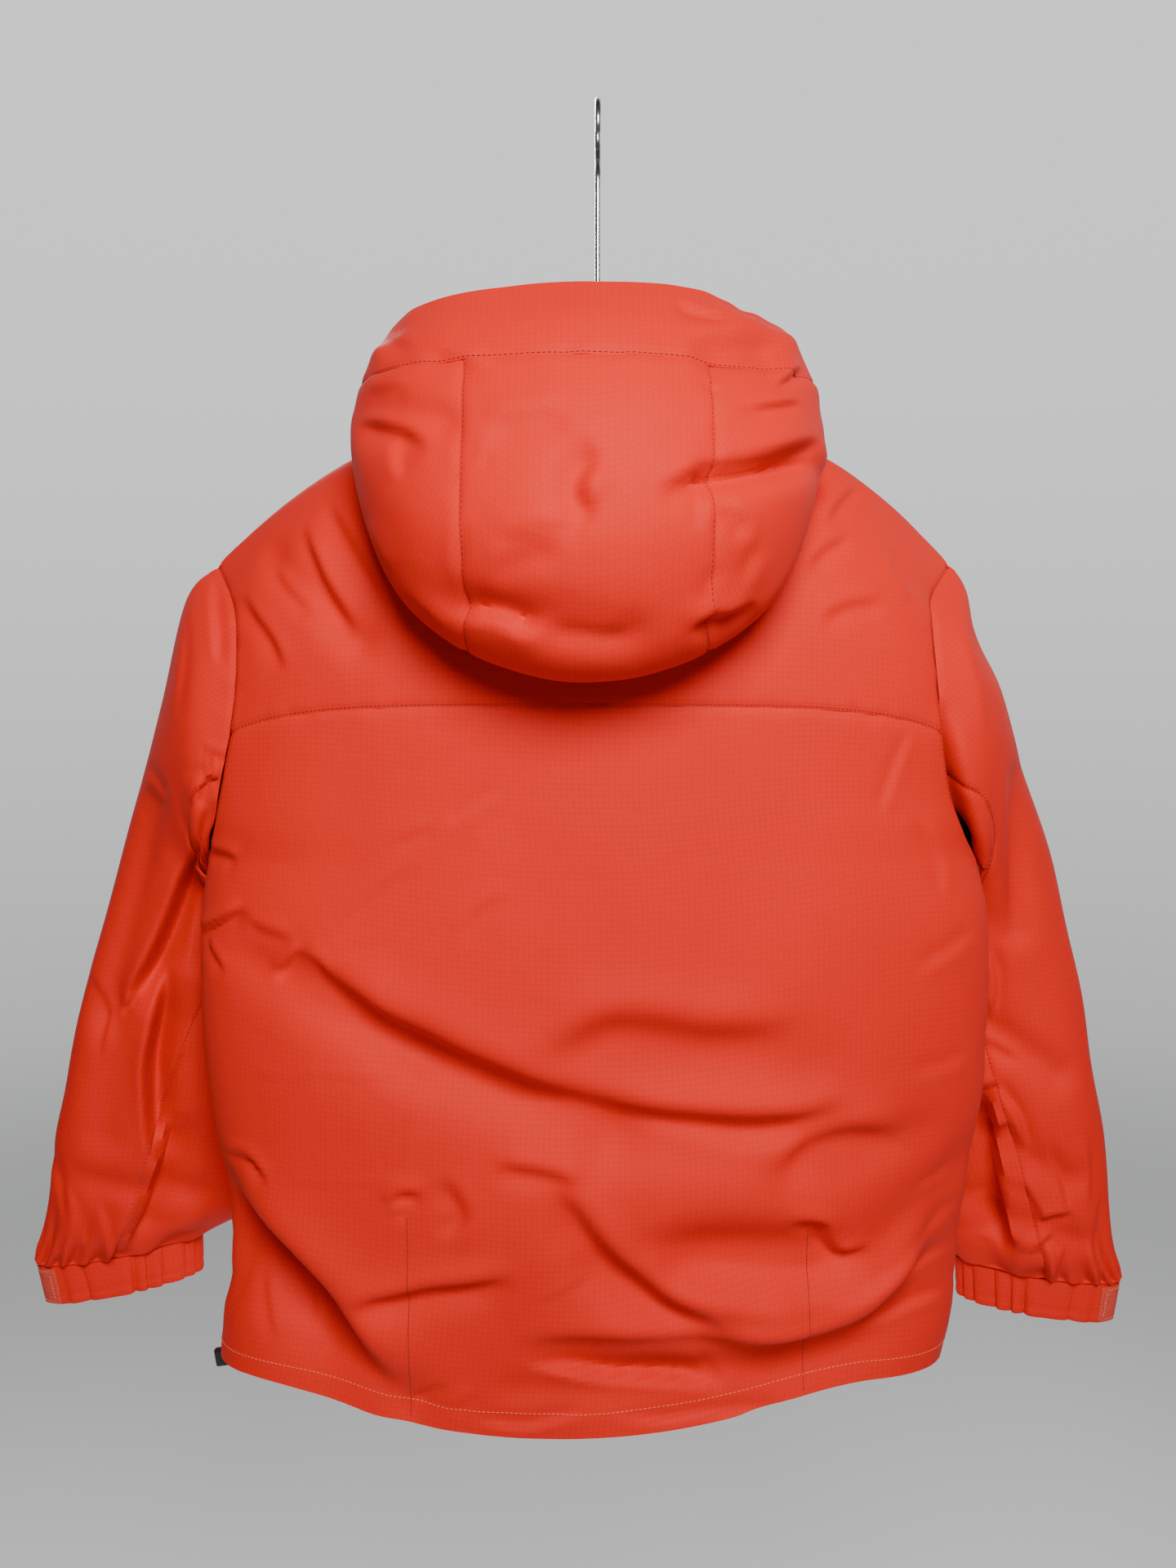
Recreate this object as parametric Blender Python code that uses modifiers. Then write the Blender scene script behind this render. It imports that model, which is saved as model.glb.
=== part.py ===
"""A hooded down jacket, zipped closed, hanging on a chrome wire hanger.

Metres, +Z up. The origin is the inner top of the hanger's hook, where it sits on a rail. The back
faces -Y and the front faces +Y. Left and right are as seen from the back: left is -X.
Each cloth panel is a grid of points on one smooth garment surface, given a wall and cut at its seams.
"""

import math

import bpy
import numpy as np

# Cloth
CLOTH = 0.003  # outer cloth, down and inner cloth together
SEAM_GAP = 0.0003  # between two pieces at a seam
EDGE_RULE = (0.13, 0.37, 0.92)  # a wall's edge is split from its lower end, measured along this
TAPE = 0.0011  # zip tape
PATCH = 0.0014  # hook-and-loop patch

# Grid of the panels. One count serves both panels that meet at a seam.
NECK_COLUMNS = 4  # from the middle to the side of the neck
SHOULDER_COLUMNS = 7  # from the side of the neck to the armhole
SIDE_ROWS = 12  # from the hem to the underarm
LOWER_ARMHOLE_ROWS = 4  # from the underarm to the yoke seam
YOKE_ROWS = 7  # from the yoke seam to the shoulder seam
SLEEVE_ROWS = 15
HOOD_STEPS = 2  # hood columns for one column of the neckline
HOOD_ROWS = 21

# Neck, as a curve in plan from the middle of the back, past the shoulder, to the zip
NECK_HALF_WIDTH = 0.088
NECK_SIDE_HEIGHT = -0.227
BACK_NECK = (-0.058, -0.222)  # depth and height at the middle
FRONT_NECK = (0.093, -0.290)
SHOULDER_ROUNDING = 2.2
ZIP_GAP = 0.013  # between the two front edges

# Zip furniture
TAPE_WIDTH = 0.0145
TAPE_GAP = 0.0008  # between a tape and the panel it is sewn to
SLIDER_SIZE = (0.0088, 0.0046, 0.0130)
SLIDER_BELOW_TOP = 0.012
BRIDGE_SIZE = (0.0024, 0.0042, 0.0080)
BRIDGE_HOLE = (0.0024, 0.0036)  # depth and height of the gap under the bridge
TAB_SIZE = (0.0060, 0.0014, 0.0300)
TAB_WINDOW = (0.0032, 0.0058)
TAB_BAR = 0.0013

# Cord lock under the left end of the hem
LOCK_SIZE = (0.0165, 0.0075, 0.0165)
LOCK_PLACE = (-0.2965, -0.0150)
LOCK_BEVEL = 0.0026

# Hanger
WIRE_RADIUS = 0.00215
HOOK_RADIUS = 0.0190  # to the middle of the wire
SHANK_TOP = -0.052
HANGER_NECK = -0.186
HANGER_SHOULDERS = ((0.010, 0.004), (0.045, 0.021))  # out from the middle, and below its neck
HANGER_HALF_WIDTH = 0.205
HANGER_END = ((0.008, 0.007), (0.007, 0.015), (-0.004, 0.021))  # beyond the last point under the seam
HANGER_CLEARANCE = (0.0007, 0.0028)  # under the shoulder seam, and beside the neck

# Cuffs
CUFF_ROWS = 3
CUFF_COLUMNS = 90
CUFF_PLEATS = 15
PLEAT_DEPTH = 0.0028
PATCH_COLUMNS = (-11, 9)  # columns of the cuff under the patch, counted from its outer edge


def table(columns, *rows):
    """A small table: each column's name, and its value in every row."""
    return dict(zip(columns.split(), np.array(rows, float).T))


# Side seam from the hem to the underarm
SIDE = table(
    "height left right depth",
    (-0.952, -0.2965, 0.2710, -0.020),
    (-0.917, -0.2935, 0.2785, -0.020),
    (-0.884, -0.2870, 0.2800, -0.020),
    (-0.837, -0.2865, 0.2830, -0.020),
    (-0.784, -0.2935, 0.2905, -0.020),
    (-0.719, -0.3010, 0.2985, -0.020),
    (-0.655, -0.3035, 0.2995, -0.020),
    (-0.600, -0.3020, 0.2970, -0.019),
    (-0.560, -0.2970, 0.2890, -0.015),
)

# Armhole from the underarm to the shoulder tip: its back and front depth at each height
ARMHOLE = table(
    "height left right back front scoop",
    (-0.560, -0.2970, 0.2890, -0.015, -0.015, 0.000),
    (-0.535, -0.2880, 0.2740, -0.040, 0.018, 0.002),
    (-0.505, -0.2800, 0.2610, -0.052, 0.038, 0.006),
    (-0.462, -0.2690, 0.2520, -0.060, 0.052, 0.010),
    (-0.416, -0.2640, 0.2470, -0.057, 0.054, 0.010),
    (-0.371, -0.2690, 0.2460, -0.039, 0.039, 0.006),
    (-0.337, -0.2900, 0.2690, 0.000, 0.000, 0.000),
)

# Middle line of the back from the hem to the yoke seam. Lift is its height above the side seam.
BACK = table(
    "lift depth",
    (0.001, -0.105),
    (0.001, -0.108),
    (0.000, -0.112),
    (0.000, -0.113),
    (0.000, -0.110),
    (0.002, -0.105),
    (0.008, -0.102),
    (0.0215, -0.100),
)

TAIL_DROP = 0.026  # how far the hem drops at the middle of the back
TAIL_SHARE = (0.72, 0.56)  # how far out it drops on the left and on the right, as a share of the half-width
TAIL_ROWS = 3.0

# Middle line of the front from the hem to the underarm
FRONT = table(
    "lift depth",
    (0.001, 0.092),
    (0.000, 0.098),
    (0.000, 0.101),
    (0.000, 0.101),
    (0.000, 0.099),
    (0.000, 0.097),
)

# Sleeves from the shoulder to the cuff. Each row is a section: its outer and inner edges, and half
# its thickness.
SLEEVE_COLUMNS = "outer_x outer_y outer_z inner_x inner_y inner_z half"
LEFT_SLEEVE = table(
    SLEEVE_COLUMNS,
    (-0.290, 0.000, -0.337, -0.297, -0.015, -0.560, 0.057),
    (-0.315, 0.004, -0.362, -0.304, 0.004, -0.574, 0.060),
    (-0.3375, 0.012, -0.440, -0.300, 0.042, -0.592, 0.060),
    (-0.3655, 0.020, -0.523, -0.284, 0.076, -0.616, 0.056),
    (-0.397, 0.028, -0.625, -0.262, 0.102, -0.668, 0.052),
    (-0.428, 0.034, -0.731, -0.262, 0.110, -0.758, 0.049),
    (-0.446, 0.040, -0.820, -0.270, 0.110, -0.835, 0.046),
    (-0.459, 0.046, -0.883, -0.288, 0.106, -0.876, 0.041),
    (-0.470, 0.052, -0.914, -0.341, 0.094, -0.902, 0.026),
)
RIGHT_SLEEVE = table(
    SLEEVE_COLUMNS,
    (0.269, 0.000, -0.337, 0.289, -0.015, -0.560, 0.057),
    (0.2920, 0.004, -0.366, 0.299, 0.006, -0.577, 0.060),
    (0.3175, 0.012, -0.444, 0.295, 0.042, -0.592, 0.060),
    (0.3475, 0.020, -0.531, 0.280, 0.076, -0.618, 0.056),
    (0.3755, 0.028, -0.625, 0.256, 0.102, -0.670, 0.052),
    (0.3985, 0.034, -0.724, 0.256, 0.110, -0.760, 0.049),
    (0.4180, 0.040, -0.822, 0.264, 0.110, -0.840, 0.046),
    (0.4290, 0.046, -0.896, 0.282, 0.106, -0.896, 0.041),
    (0.4400, 0.052, -0.929, 0.311, 0.094, -0.924, 0.026),
)
SLEEVE_FADE = 2.6  # sections over which the armhole's shape gives way to the sleeve's
BACK_SEAM_COLUMN = 8  # columns from the outer edge to the back seam, and to the front one
FRONT_SEAM_COLUMN = 9
BACK_SEAM_DEGREES = (110, 108, 104, 98, 91, 79, 72, 70, 84)  # round the sleeve, in each section
FRONT_SEAM_ANGLE = math.radians(112)
CUFF_DROP = 0.034
CUFF_TAPER = 0.94

# Hood from the neckline, down over the back, round its low fold and up to the face opening.
# Each row is one U-shaped line: its middle at the back, its widest point, and its front end.
HOOD = table(
    "back_y back_z side_x side_y side_z front_y front_z",
    (-0.058, -0.222, 0.0880, 0.000, -0.227, 0.093, -0.290),
    (-0.062, -0.208, 0.0905, 0.000, -0.213, 0.0945, -0.284),
    (-0.080, -0.206, 0.1080, -0.002, -0.213, 0.096, -0.277),
    (-0.099, -0.235, 0.1300, -0.006, -0.221, 0.098, -0.270),
    (-0.107, -0.310, 0.1480, -0.018, -0.231, 0.100, -0.262),
    (-0.117, -0.386, 0.1600, -0.038, -0.241, 0.102, -0.255),
    (-0.143, -0.423, 0.1655, -0.056, -0.248, 0.104, -0.248),
    (-0.182, -0.401, 0.1665, -0.068, -0.250, 0.106, -0.242),
    (-0.202, -0.330, 0.1660, -0.072, -0.244, 0.108, -0.236),
    (-0.190, -0.264, 0.1645, -0.066, -0.234, 0.110, -0.230),
    (-0.172, -0.224, 0.1630, -0.058, -0.221, 0.111, -0.226),
    (-0.150, -0.188, 0.1575, -0.046, -0.204, 0.112, -0.221),
    (-0.118, -0.156, 0.1490, -0.030, -0.187, 0.113, -0.216),
)
HOOD_BRIM_ROW = 10  # the row of the table along which the brim is sewn on
HOOD_MIDDLE = -0.0075  # the hood lies a little to the left
HOOD_CENTRE_COLUMNS = 3  # from the middle to the seam of the centre panel
HOOD_CENTRE_HALF = (0.049, 0.083)  # half the centre panel's width at the neck and at the crown
HOOD_FULLNESS = 2.15
HOOD_STAND = (0.014, 0.006)  # height that stands up from the neckline at the back and at the zip

# The largest folds, as troughs between two points of the back, seen from behind
BACK_FOLDS = table(
    "from_x from_z to_x to_z width depth",
    (-0.255, -0.625, -0.130, -0.690, 0.020, 0.006),
    (-0.130, -0.690, 0.010, -0.750, 0.024, 0.008),
    (0.010, -0.750, 0.130, -0.757, 0.022, 0.006),
    (0.005, -0.705, 0.150, -0.700, 0.030, 0.005),
    (-0.290, -0.815, -0.215, -0.885, 0.026, 0.010),
    (-0.215, -0.885, -0.140, -0.950, 0.020, 0.007),
    (0.000, -0.850, 0.090, -0.905, 0.018, 0.006),
    (0.270, -0.790, 0.160, -0.880, 0.022, 0.006),
    (0.140, -0.785, 0.240, -0.755, 0.018, 0.004),
    (-0.235, -0.335, -0.170, -0.395, 0.014, 0.005),
    (-0.060, -0.940, 0.075, -0.935, 0.014, 0.004),
    (-0.345, -0.520, -0.395, -0.690, 0.016, 0.007),
    (-0.385, -0.690, -0.400, -0.790, 0.020, 0.006),
    (0.325, -0.500, 0.330, -0.620, 0.014, 0.005),
    (0.310, -0.700, 0.370, -0.740, 0.014, 0.006),
    (0.310, -0.790, 0.385, -0.830, 0.014, 0.006),
    (0.305, -0.860, 0.400, -0.885, 0.012, 0.005),
    (-0.420, -0.830, -0.330, -0.850, 0.013, 0.005),
    (-0.095, -0.370, 0.020, -0.392, 0.014, 0.006),
    (0.070, -0.287, 0.155, -0.274, 0.012, 0.006),
    (-0.160, -0.240, -0.100, -0.255, 0.012, 0.005),
)

NECK_SHARE = NECK_COLUMNS / (NECK_COLUMNS + SHOULDER_COLUMNS)
ARMHOLE_ROWS = LOWER_ARMHOLE_ROWS + YOKE_ROWS
YOKE_END = 3  # the row of ARMHOLE at the yoke seam
LAST_ARMHOLE = len(ARMHOLE["height"]) - 1


# Curves


def through(values, at):
    """A smooth curve through a column's values, read at row numbers that need not be whole."""
    values = np.asarray(values, float)
    at = np.asarray(at, float)
    step = np.diff(values)
    slope = np.gradient(values)
    limit = 3 * np.minimum(np.abs(step[:-1]), np.abs(step[1:]))
    slope[1:-1] = np.where(step[:-1] * step[1:] > 0, np.clip(slope[1:-1], -limit, limit), 0)
    low = np.clip(at.astype(int), 0, len(values) - 2)
    share = np.clip(at - low, 0, 1)
    return (
        values[low]
        + slope[low] * share
        + (3 * step[low] - 2 * slope[low] - slope[low + 1]) * share**2
        + (slope[low] + slope[low + 1] - 2 * step[low]) * share**3
    )


def share_of(values, share):
    """The same curve, read at a share of its whole length in rows."""
    return through(values, np.asarray(share) * (len(values) - 1))


def unit(vectors):
    return vectors / np.maximum(np.linalg.norm(vectors, axis=-1, keepdims=True), 1e-12)


def mix(first, second, share):
    return first + (second - first) * share


def joined(x, y, z):
    return np.stack(np.broadcast_arrays(x, y, z), axis=-1)


# Torso


def half_columns():
    """Where the columns of half a panel lie, from 0 at the middle to 1 at the armhole."""
    return np.arange(NECK_COLUMNS + SHOULDER_COLUMNS + 1) / (NECK_COLUMNS + SHOULDER_COLUMNS)


def across(place, power, turn):
    """How far out and how deep a point of a section lies, for a place from 0 to 1."""
    angle = place * (math.pi / 2 - turn)
    out = np.sin(angle) ** (2 / power)
    deep = np.maximum(np.cos(angle), 0) ** (2 / power)
    last_out = math.cos(turn) ** (2 / power)
    last_deep = math.sin(turn) ** (2 / power)
    return out / last_out, (deep - last_deep) / (1 - last_deep)


def side_point(side, row, front):
    """A point of the side seam, or of the armhole above it, on the back or the front."""
    name = "left" if side < 0 else "right"
    if row <= SIDE_ROWS:
        share = row / SIDE_ROWS
        return np.array([share_of(SIDE[key], share) for key in (name, "depth", "height")])
    if row <= SIDE_ROWS + LOWER_ARMHOLE_ROWS:
        at = YOKE_END * (row - SIDE_ROWS) / LOWER_ARMHOLE_ROWS
    else:
        over = (row - SIDE_ROWS - LOWER_ARMHOLE_ROWS) / YOKE_ROWS
        at = YOKE_END + (LAST_ARMHOLE - YOKE_END) * over
    x, y, z = (through(ARMHOLE[key], at) for key in (name, "front" if front else "back", "height"))
    if front:
        x = x - side * through(ARMHOLE["scoop"], at)
    return np.array([x, y, z])


def turn_of(row):
    """How far short of the side a section stops: nothing below the underarm, more beside the armhole."""
    above = np.clip((row - SIDE_ROWS) / LOWER_ARMHOLE_ROWS, 0, 1)
    return math.radians(26) * above


def half_section(side, row, middle, front, power):
    """One half of a section of the torso, from its middle to its side."""
    end = side_point(side, row, front)
    other = side_point(-side, row, front)
    out, deep = across(half_columns(), power, turn_of(row))
    middle_x = 0.5 * (end[0] + other[0])
    x = mix(middle_x, end[0], out)
    y = mix(end[1], middle[0], deep)
    z = mix(middle[1], end[2], half_columns() ** 3)
    return joined(x, y, z)


def back_rows():
    """The back from the hem to the yoke seam, its columns from left to right."""
    rows = []
    last = SIDE_ROWS + LOWER_ARMHOLE_ROWS
    for row in range(last + 1):
        share = row / last
        ends = [side_point(side, row, False)[2] for side in (-1, 1)]
        middle = (share_of(BACK["depth"], share), sum(ends) / 2 + share_of(BACK["lift"], share))
        left, right = (half_section(side, row, middle, False, 2.2) for side in (-1, 1))
        for half, tail in zip((left, right), TAIL_SHARE):
            near = np.clip(1 - half_columns() / tail, 0, 1)
            half[:, 2] -= TAIL_DROP * max(0.0, 1 - row / TAIL_ROWS) * near * near * (3 - 2 * near)
        rows.append(np.concatenate([left[::-1], right[1:]]))
    return np.array(rows)


def top_edge(side, front):
    """Neckline and shoulder seam, from the middle to the shoulder tip."""
    middle_y, middle_z = FRONT_NECK if front else BACK_NECK
    tip = side_point(side, SIDE_ROWS + ARMHOLE_ROWS, front)
    place = half_columns()
    angle = np.clip(place / NECK_SHARE, 0, 1) * math.pi / 2
    along = np.clip((place - NECK_SHARE) / (1 - NECK_SHARE), 0, 1)
    first_x = ZIP_GAP / 2 if front else 0
    x = np.where(
        place <= NECK_SHARE,
        side * mix(first_x, NECK_HALF_WIDTH, np.sin(angle)),
        mix(side * NECK_HALF_WIDTH, tip[0], along),
    )
    drop = (0.35 * along + 0.65 * along**SHOULDER_ROUNDING) * (NECK_SIDE_HEIGHT - tip[2])
    y = middle_y * np.cos(angle)
    z = NECK_SIDE_HEIGHT + (middle_z - NECK_SIDE_HEIGHT) * np.cos(angle) ** 1.5 - drop
    return joined(x, y, z)


def rising_rows(bottom, top, ends, neck_fullness):
    """Rows from a level section up to the neckline and shoulder, bowed over the shoulder."""
    place = half_columns()
    full = np.clip((place - 0.5 * NECK_SHARE) / NECK_SHARE, 0, 1)
    full = mix(neck_fullness, 1.0, full * full * (3 - 2 * full))
    grid = []
    for end in ends:
        high = (end[2] - ends[0][2]) / (ends[-1][2] - ends[0][2])
        turn = math.asin(min(1.0, high))
        share = turn / (math.pi / 2)
        rise = mix(share, high, full)
        lean = mix(share**1.5, 1 - math.cos(turn), full)
        x = mix(bottom[:, 0], top[:, 0], lean)
        y = mix(bottom[:, 1], top[:, 1], lean)
        z = mix(bottom[:, 2], top[:, 2], rise)
        points = joined(x, y, z)
        points += (end - points[-1]) * (place**1.5)[:, None]
        grid.append(points)
    return np.array(grid)


def yoke_rows(seam):
    """The yoke from its seam over the shoulders, its columns from left to right."""
    halves = []
    first = SIDE_ROWS + LOWER_ARMHOLE_ROWS
    middle = NECK_COLUMNS + SHOULDER_COLUMNS
    for side in (-1, 1):
        bottom = seam[middle::-1] if side < 0 else seam[middle:]
        ends = [side_point(side, first + row, False) for row in range(YOKE_ROWS + 1)]
        halves.append(rising_rows(bottom, top_edge(side, False), ends, 0.35))
    left, right = halves
    return np.concatenate([left[:, ::-1], right[:, 1:]], axis=1)


def front_rows(side):
    """One front from the hem to the shoulder, its columns from the zip to the side."""
    rows = []
    for row in range(SIDE_ROWS + 1):
        share = row / SIDE_ROWS
        end = side_point(side, row, True)
        lift = share_of(FRONT["lift"], share)
        section = half_section(side, row, (share_of(FRONT["depth"], share), end[2] + lift), True, 1.9)
        out, _ = across(half_columns(), 1.9, turn_of(row))
        section[:, 0] = mix(side * ZIP_GAP / 2, end[0], out)
        rows.append(section)
    bottom = rows.pop()
    ends = [side_point(side, SIDE_ROWS + row, True) for row in range(ARMHOLE_ROWS + 1)]
    rising = rising_rows(bottom, top_edge(side, True), ends, 0.15)
    return np.concatenate([np.array(rows), rising])


# Sleeves


def armhole_loop(side):
    """The armhole from the shoulder tip down its back to the underarm, and up its front."""
    rows = range(SIDE_ROWS + ARMHOLE_ROWS, SIDE_ROWS - 1, -1)
    back = [side_point(side, row, False) for row in rows]
    front = [side_point(side, row, True) for row in rows]
    return np.array(back + front[-2:0:-1])


def section_frame(sleeve, at):
    """Middle, outward half-width and backward half-thickness of the sleeve's section."""
    outer, inner = (
        np.array([through(sleeve[f"{edge}_{axis}"], at) for axis in "xyz"])
        for edge in ("outer", "inner")
    )
    middle = (outer + inner) / 2
    half_width = (outer - inner) / 2
    straight_back = np.array([0.0, -1.0, 0.0])
    along = unit(half_width)
    back = unit(straight_back - along * (straight_back @ along))
    return middle, half_width, back * through(sleeve["half"], at)


def sleeve_end_axis(sleeve):
    """The direction in which the sleeve ends, square to its last section."""
    _, half_width, half_depth = section_frame(sleeve, len(sleeve["half"]) - 1)
    down = unit(np.cross(half_width, half_depth))
    return down if down[2] < 0 else -down


def sleeve_angles(side, share):
    """Angle of each column round the section, from 0 at the outer edge through the back."""
    loop = armhole_loop(side)
    middle = (loop[0, 2] + loop[ARMHOLE_ROWS, 2]) / 2
    reach = (loop[0, 2] - loop[ARMHOLE_ROWS, 2]) / 2
    first = np.arccos(np.clip((loop[: ARMHOLE_ROWS + 1, 2] - middle) / reach, -1, 1))

    def last(seam_column, seam_angle):
        columns = np.arange(ARMHOLE_ROWS + 1)
        return np.interp(columns, (0, seam_column, ARMHOLE_ROWS), (0, seam_angle, math.pi))

    turned = min(1.0, share * 2.2)
    back_seam = math.radians(share_of(BACK_SEAM_DEGREES, share))
    back = mix(first, last(BACK_SEAM_COLUMN, back_seam), turned)
    front = mix(first, last(FRONT_SEAM_COLUMN, FRONT_SEAM_ANGLE), turned)
    return np.concatenate([back, -front[-2:0:-1]])


def sleeve_rows(side, sleeve):
    """The sleeve from the armhole to the cuff, its columns once round from the outer edge."""
    loop = armhole_loop(side)
    last = len(sleeve["half"]) - 1

    def ring(at):
        middle, half_width, half_depth = section_frame(sleeve, at)
        angles = sleeve_angles(side, at / last)[:, None]
        return middle + np.cos(angles) * half_width + np.sin(angles) * half_depth

    first = loop - ring(0)
    rows = []
    for row in range(SLEEVE_ROWS + 1):
        at = last * row / SLEEVE_ROWS
        fade = max(0.0, 1 - at / SLEEVE_FADE) ** 2
        rows.append(ring(at) + first * fade)
    return np.array(rows)


# Hood


def neck_edge(grids):
    """The neckline from the left front, round the back, to the right front, as the torso has it."""
    left = grids["front_left"][-1, : NECK_COLUMNS + 1]
    right = grids["front_right"][-1, : NECK_COLUMNS + 1]
    middle = NECK_COLUMNS + SHOULDER_COLUMNS
    back = grids["back_yoke"][-1, middle - NECK_COLUMNS : middle + NECK_COLUMNS + 1]
    corners = np.concatenate([left, back[1:-1], right[::-1]])
    places = np.linspace(0, len(corners) - 1, (len(corners) - 1) * HOOD_STEPS + 1)
    return joined(*(np.interp(places, range(len(corners)), corners[:, i]) for i in range(3)))


def hood_stations(at):
    """Nine points of one U-shaped line of the hood, from its left front end to its right one."""
    row = {name: through(values, at) for name, values in HOOD.items()}
    power = 2 / HOOD_FULLNESS
    half = []
    for place in (0, 0.25, 0.5, 0.75, 1):
        angle = place * math.pi
        near = "back" if place < 0.5 else "front"
        reach = abs(math.cos(angle)) ** power
        first_x = 0 if place < 0.5 else ZIP_GAP / 2
        half.append((
            mix(first_x, row["side_x"], abs(math.sin(angle)) ** power),
            mix(row["side_y"], row[f"{near}_y"], reach),
            mix(row["side_z"], row[f"{near}_z"], reach),
        ))
    right = np.array(half)
    left = right[:0:-1] * (-1, 1, 1)
    return np.concatenate([left, right])


def catmull(points, at):
    """The smooth curve through a few points, read at numbers that need not be whole."""
    slope = np.gradient(points, axis=0)
    low = np.clip(at.astype(int), 0, len(points) - 2)
    share = (at - low)[:, None]
    first, last = points[low], points[low + 1]
    return (
        first * (1 - 3 * share**2 + 2 * share**3)
        + last * (3 * share**2 - 2 * share**3)
        + slope[low] * (share - 2 * share**2 + share**3)
        + slope[low + 1] * (share**3 - share**2)
    )


def hood_places(at, columns):
    """Where the columns lie on the nine stations: one column always runs down the centre seam."""
    half = columns // 2
    wide = mix(*HOOD_CENTRE_HALF, min(1.0, at / 5)) / through(HOOD["side_x"], at)
    seam = math.asin(min(1.0, wide) ** (HOOD_FULLNESS / 2)) / math.pi
    counted = np.arange(half + 1)
    places = np.interp(counted, (0, HOOD_CENTRE_COLUMNS, half / 2, half), (0, seam, 0.5, 1))
    return np.concatenate([4 - 4 * places[:0:-1], 4 + 4 * places])


def hood_rows(edge):
    """The hood from the neckline to the face opening, its columns from left front to right front."""
    columns = len(edge)
    last = len(HOOD["back_y"]) - 1
    turned = np.abs(np.linspace(-1, 1, columns))
    stand = mix(*HOOD_STAND, turned**2)
    rows = []
    for row in range(HOOD_ROWS + 1):
        at = last * row / HOOD_ROWS
        standing = edge + joined(0.0, 0.0, SEAM_GAP + stand * min(1.0, at))
        points = catmull(hood_stations(at), hood_places(at, columns))
        points[:, 0] += HOOD_MIDDLE * (1 - turned**4) * min(1, at / 4)
        left = np.clip((at - 0.6) / 1.6, 0, 1)
        rows.append(mix(standing, points, left * left * (3 - 2 * left)))
    return np.array(rows)


def brim_row():
    return round(HOOD_ROWS * HOOD_BRIM_ROW / (len(HOOD["back_y"]) - 1))


# Walls


def quads_of(rows, columns, closed):
    """Corner numbers of a grid's faces, whose outer side is that of columns crossed with rows."""
    faces = []
    for row in range(rows - 1):
        for column in range(columns if closed else columns - 1):
            after = (column + 1) % columns
            here, above = row * columns, (row + 1) * columns
            faces.append((here + column, here + after, above + after, above + column))
    return faces


def shared_normals(grids, closed):
    """A normal for every point of several grids, the same on both sides of a seam."""
    sums = {}
    for name, grid in grids.items():
        rows, columns, _ = grid.shape
        flat = grid.reshape(-1, 3)
        for face in quads_of(rows, columns, name in closed):
            corners = flat[list(face)]
            normal = np.cross(corners[2] - corners[0], corners[3] - corners[1])
            for corner in corners:
                key = tuple(np.round(corner * 1e5).astype(int))
                sums[key] = sums.get(key, 0) + normal
    found = {}
    for name, grid in grids.items():
        keys = (tuple(np.round(point * 1e5).astype(int)) for point in grid.reshape(-1, 3))
        found[name] = unit(np.array([sums[key] for key in keys])).reshape(grid.shape)
    return found


def folded(points, normals):
    """Moves points in along their normals where a fold of the back runs."""
    depth = np.zeros(points.shape[:-1])
    flat = points[..., [0, 2]]
    for index in range(len(BACK_FOLDS["depth"])):
        fold = {name: values[index] for name, values in BACK_FOLDS.items()}
        start = np.array([fold["from_x"], fold["from_z"]])
        span = np.array([fold["to_x"], fold["to_z"]]) - start
        share = np.clip((flat - start) @ span / (span @ span), 0, 1)
        away = np.linalg.norm(flat - start - share[..., None] * span, axis=-1)
        depth += fold["depth"] * np.exp(-((away / fold["width"]) ** 2))
    faces_back = np.clip(-1.6 * normals[..., 1], 0, 1)
    return points - normals * (depth * faces_back)[..., None]


def pulled_back(points, normals, closed):
    """Moves a grid's edges in by half the gap of a seam, square to the seam."""
    pulled = points.copy()

    def pull(edge, ring):
        if ring:
            along = np.roll(points[edge], -1, axis=0) - np.roll(points[edge], 1, axis=0)
        else:
            along = np.gradient(points[edge], axis=0)
        inward = unit(np.cross(along, normals[edge]))
        step = 1 if 0 in edge else -1
        next_in = tuple(index + step if isinstance(index, int) else index for index in edge)
        facing = ((points[next_in] - points[edge]) * inward).sum(axis=-1, keepdims=True)
        pulled[edge] += inward * np.sign(facing) * SEAM_GAP / 2

    every = slice(None)
    pull((0,), closed)
    pull((-1,), closed)
    if not closed:
        pull((every, 0), False)
        pull((every, -1), False)
    return pulled


def wall_mesh(name, outer, inner, closed):
    """One closed body between two grids with the same rows and columns."""
    rows, columns, _ = outer.shape
    count = rows * columns
    faces = quads_of(rows, columns, closed)
    faces += [tuple(count + corner for corner in reversed(face)) for face in list(faces)]
    border = [(0, c, 0, (c + 1) % columns) for c in range(columns if closed else columns - 1)]
    border += [(rows - 1, b, rows - 1, a) for _, a, _, b in border]
    if not closed:
        border += [(r + 1, 0, r, 0) for r in range(rows - 1)]
        border += [(r, columns - 1, r + 1, columns - 1) for r in range(rows - 1)]
    height = outer.reshape(-1, 3) @ EDGE_RULE
    for row_a, column_a, row_b, column_b in border:
        a = row_a * columns + column_a
        b = row_b * columns + column_b
        if height[a] < height[b]:
            faces += [(b, a, b + count), (a, a + count, b + count)]
        else:
            faces += [(b, a, a + count), (b, a + count, b + count)]
    mesh = bpy.data.meshes.new(name)
    mesh.from_pydata(np.concatenate([outer.reshape(-1, 3), inner.reshape(-1, 3)]).tolist(), [], faces)
    mesh.shade_smooth()
    mesh.set_sharp_from_angle(angle=math.radians(50))
    return mesh


# Objects and finishes


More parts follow.
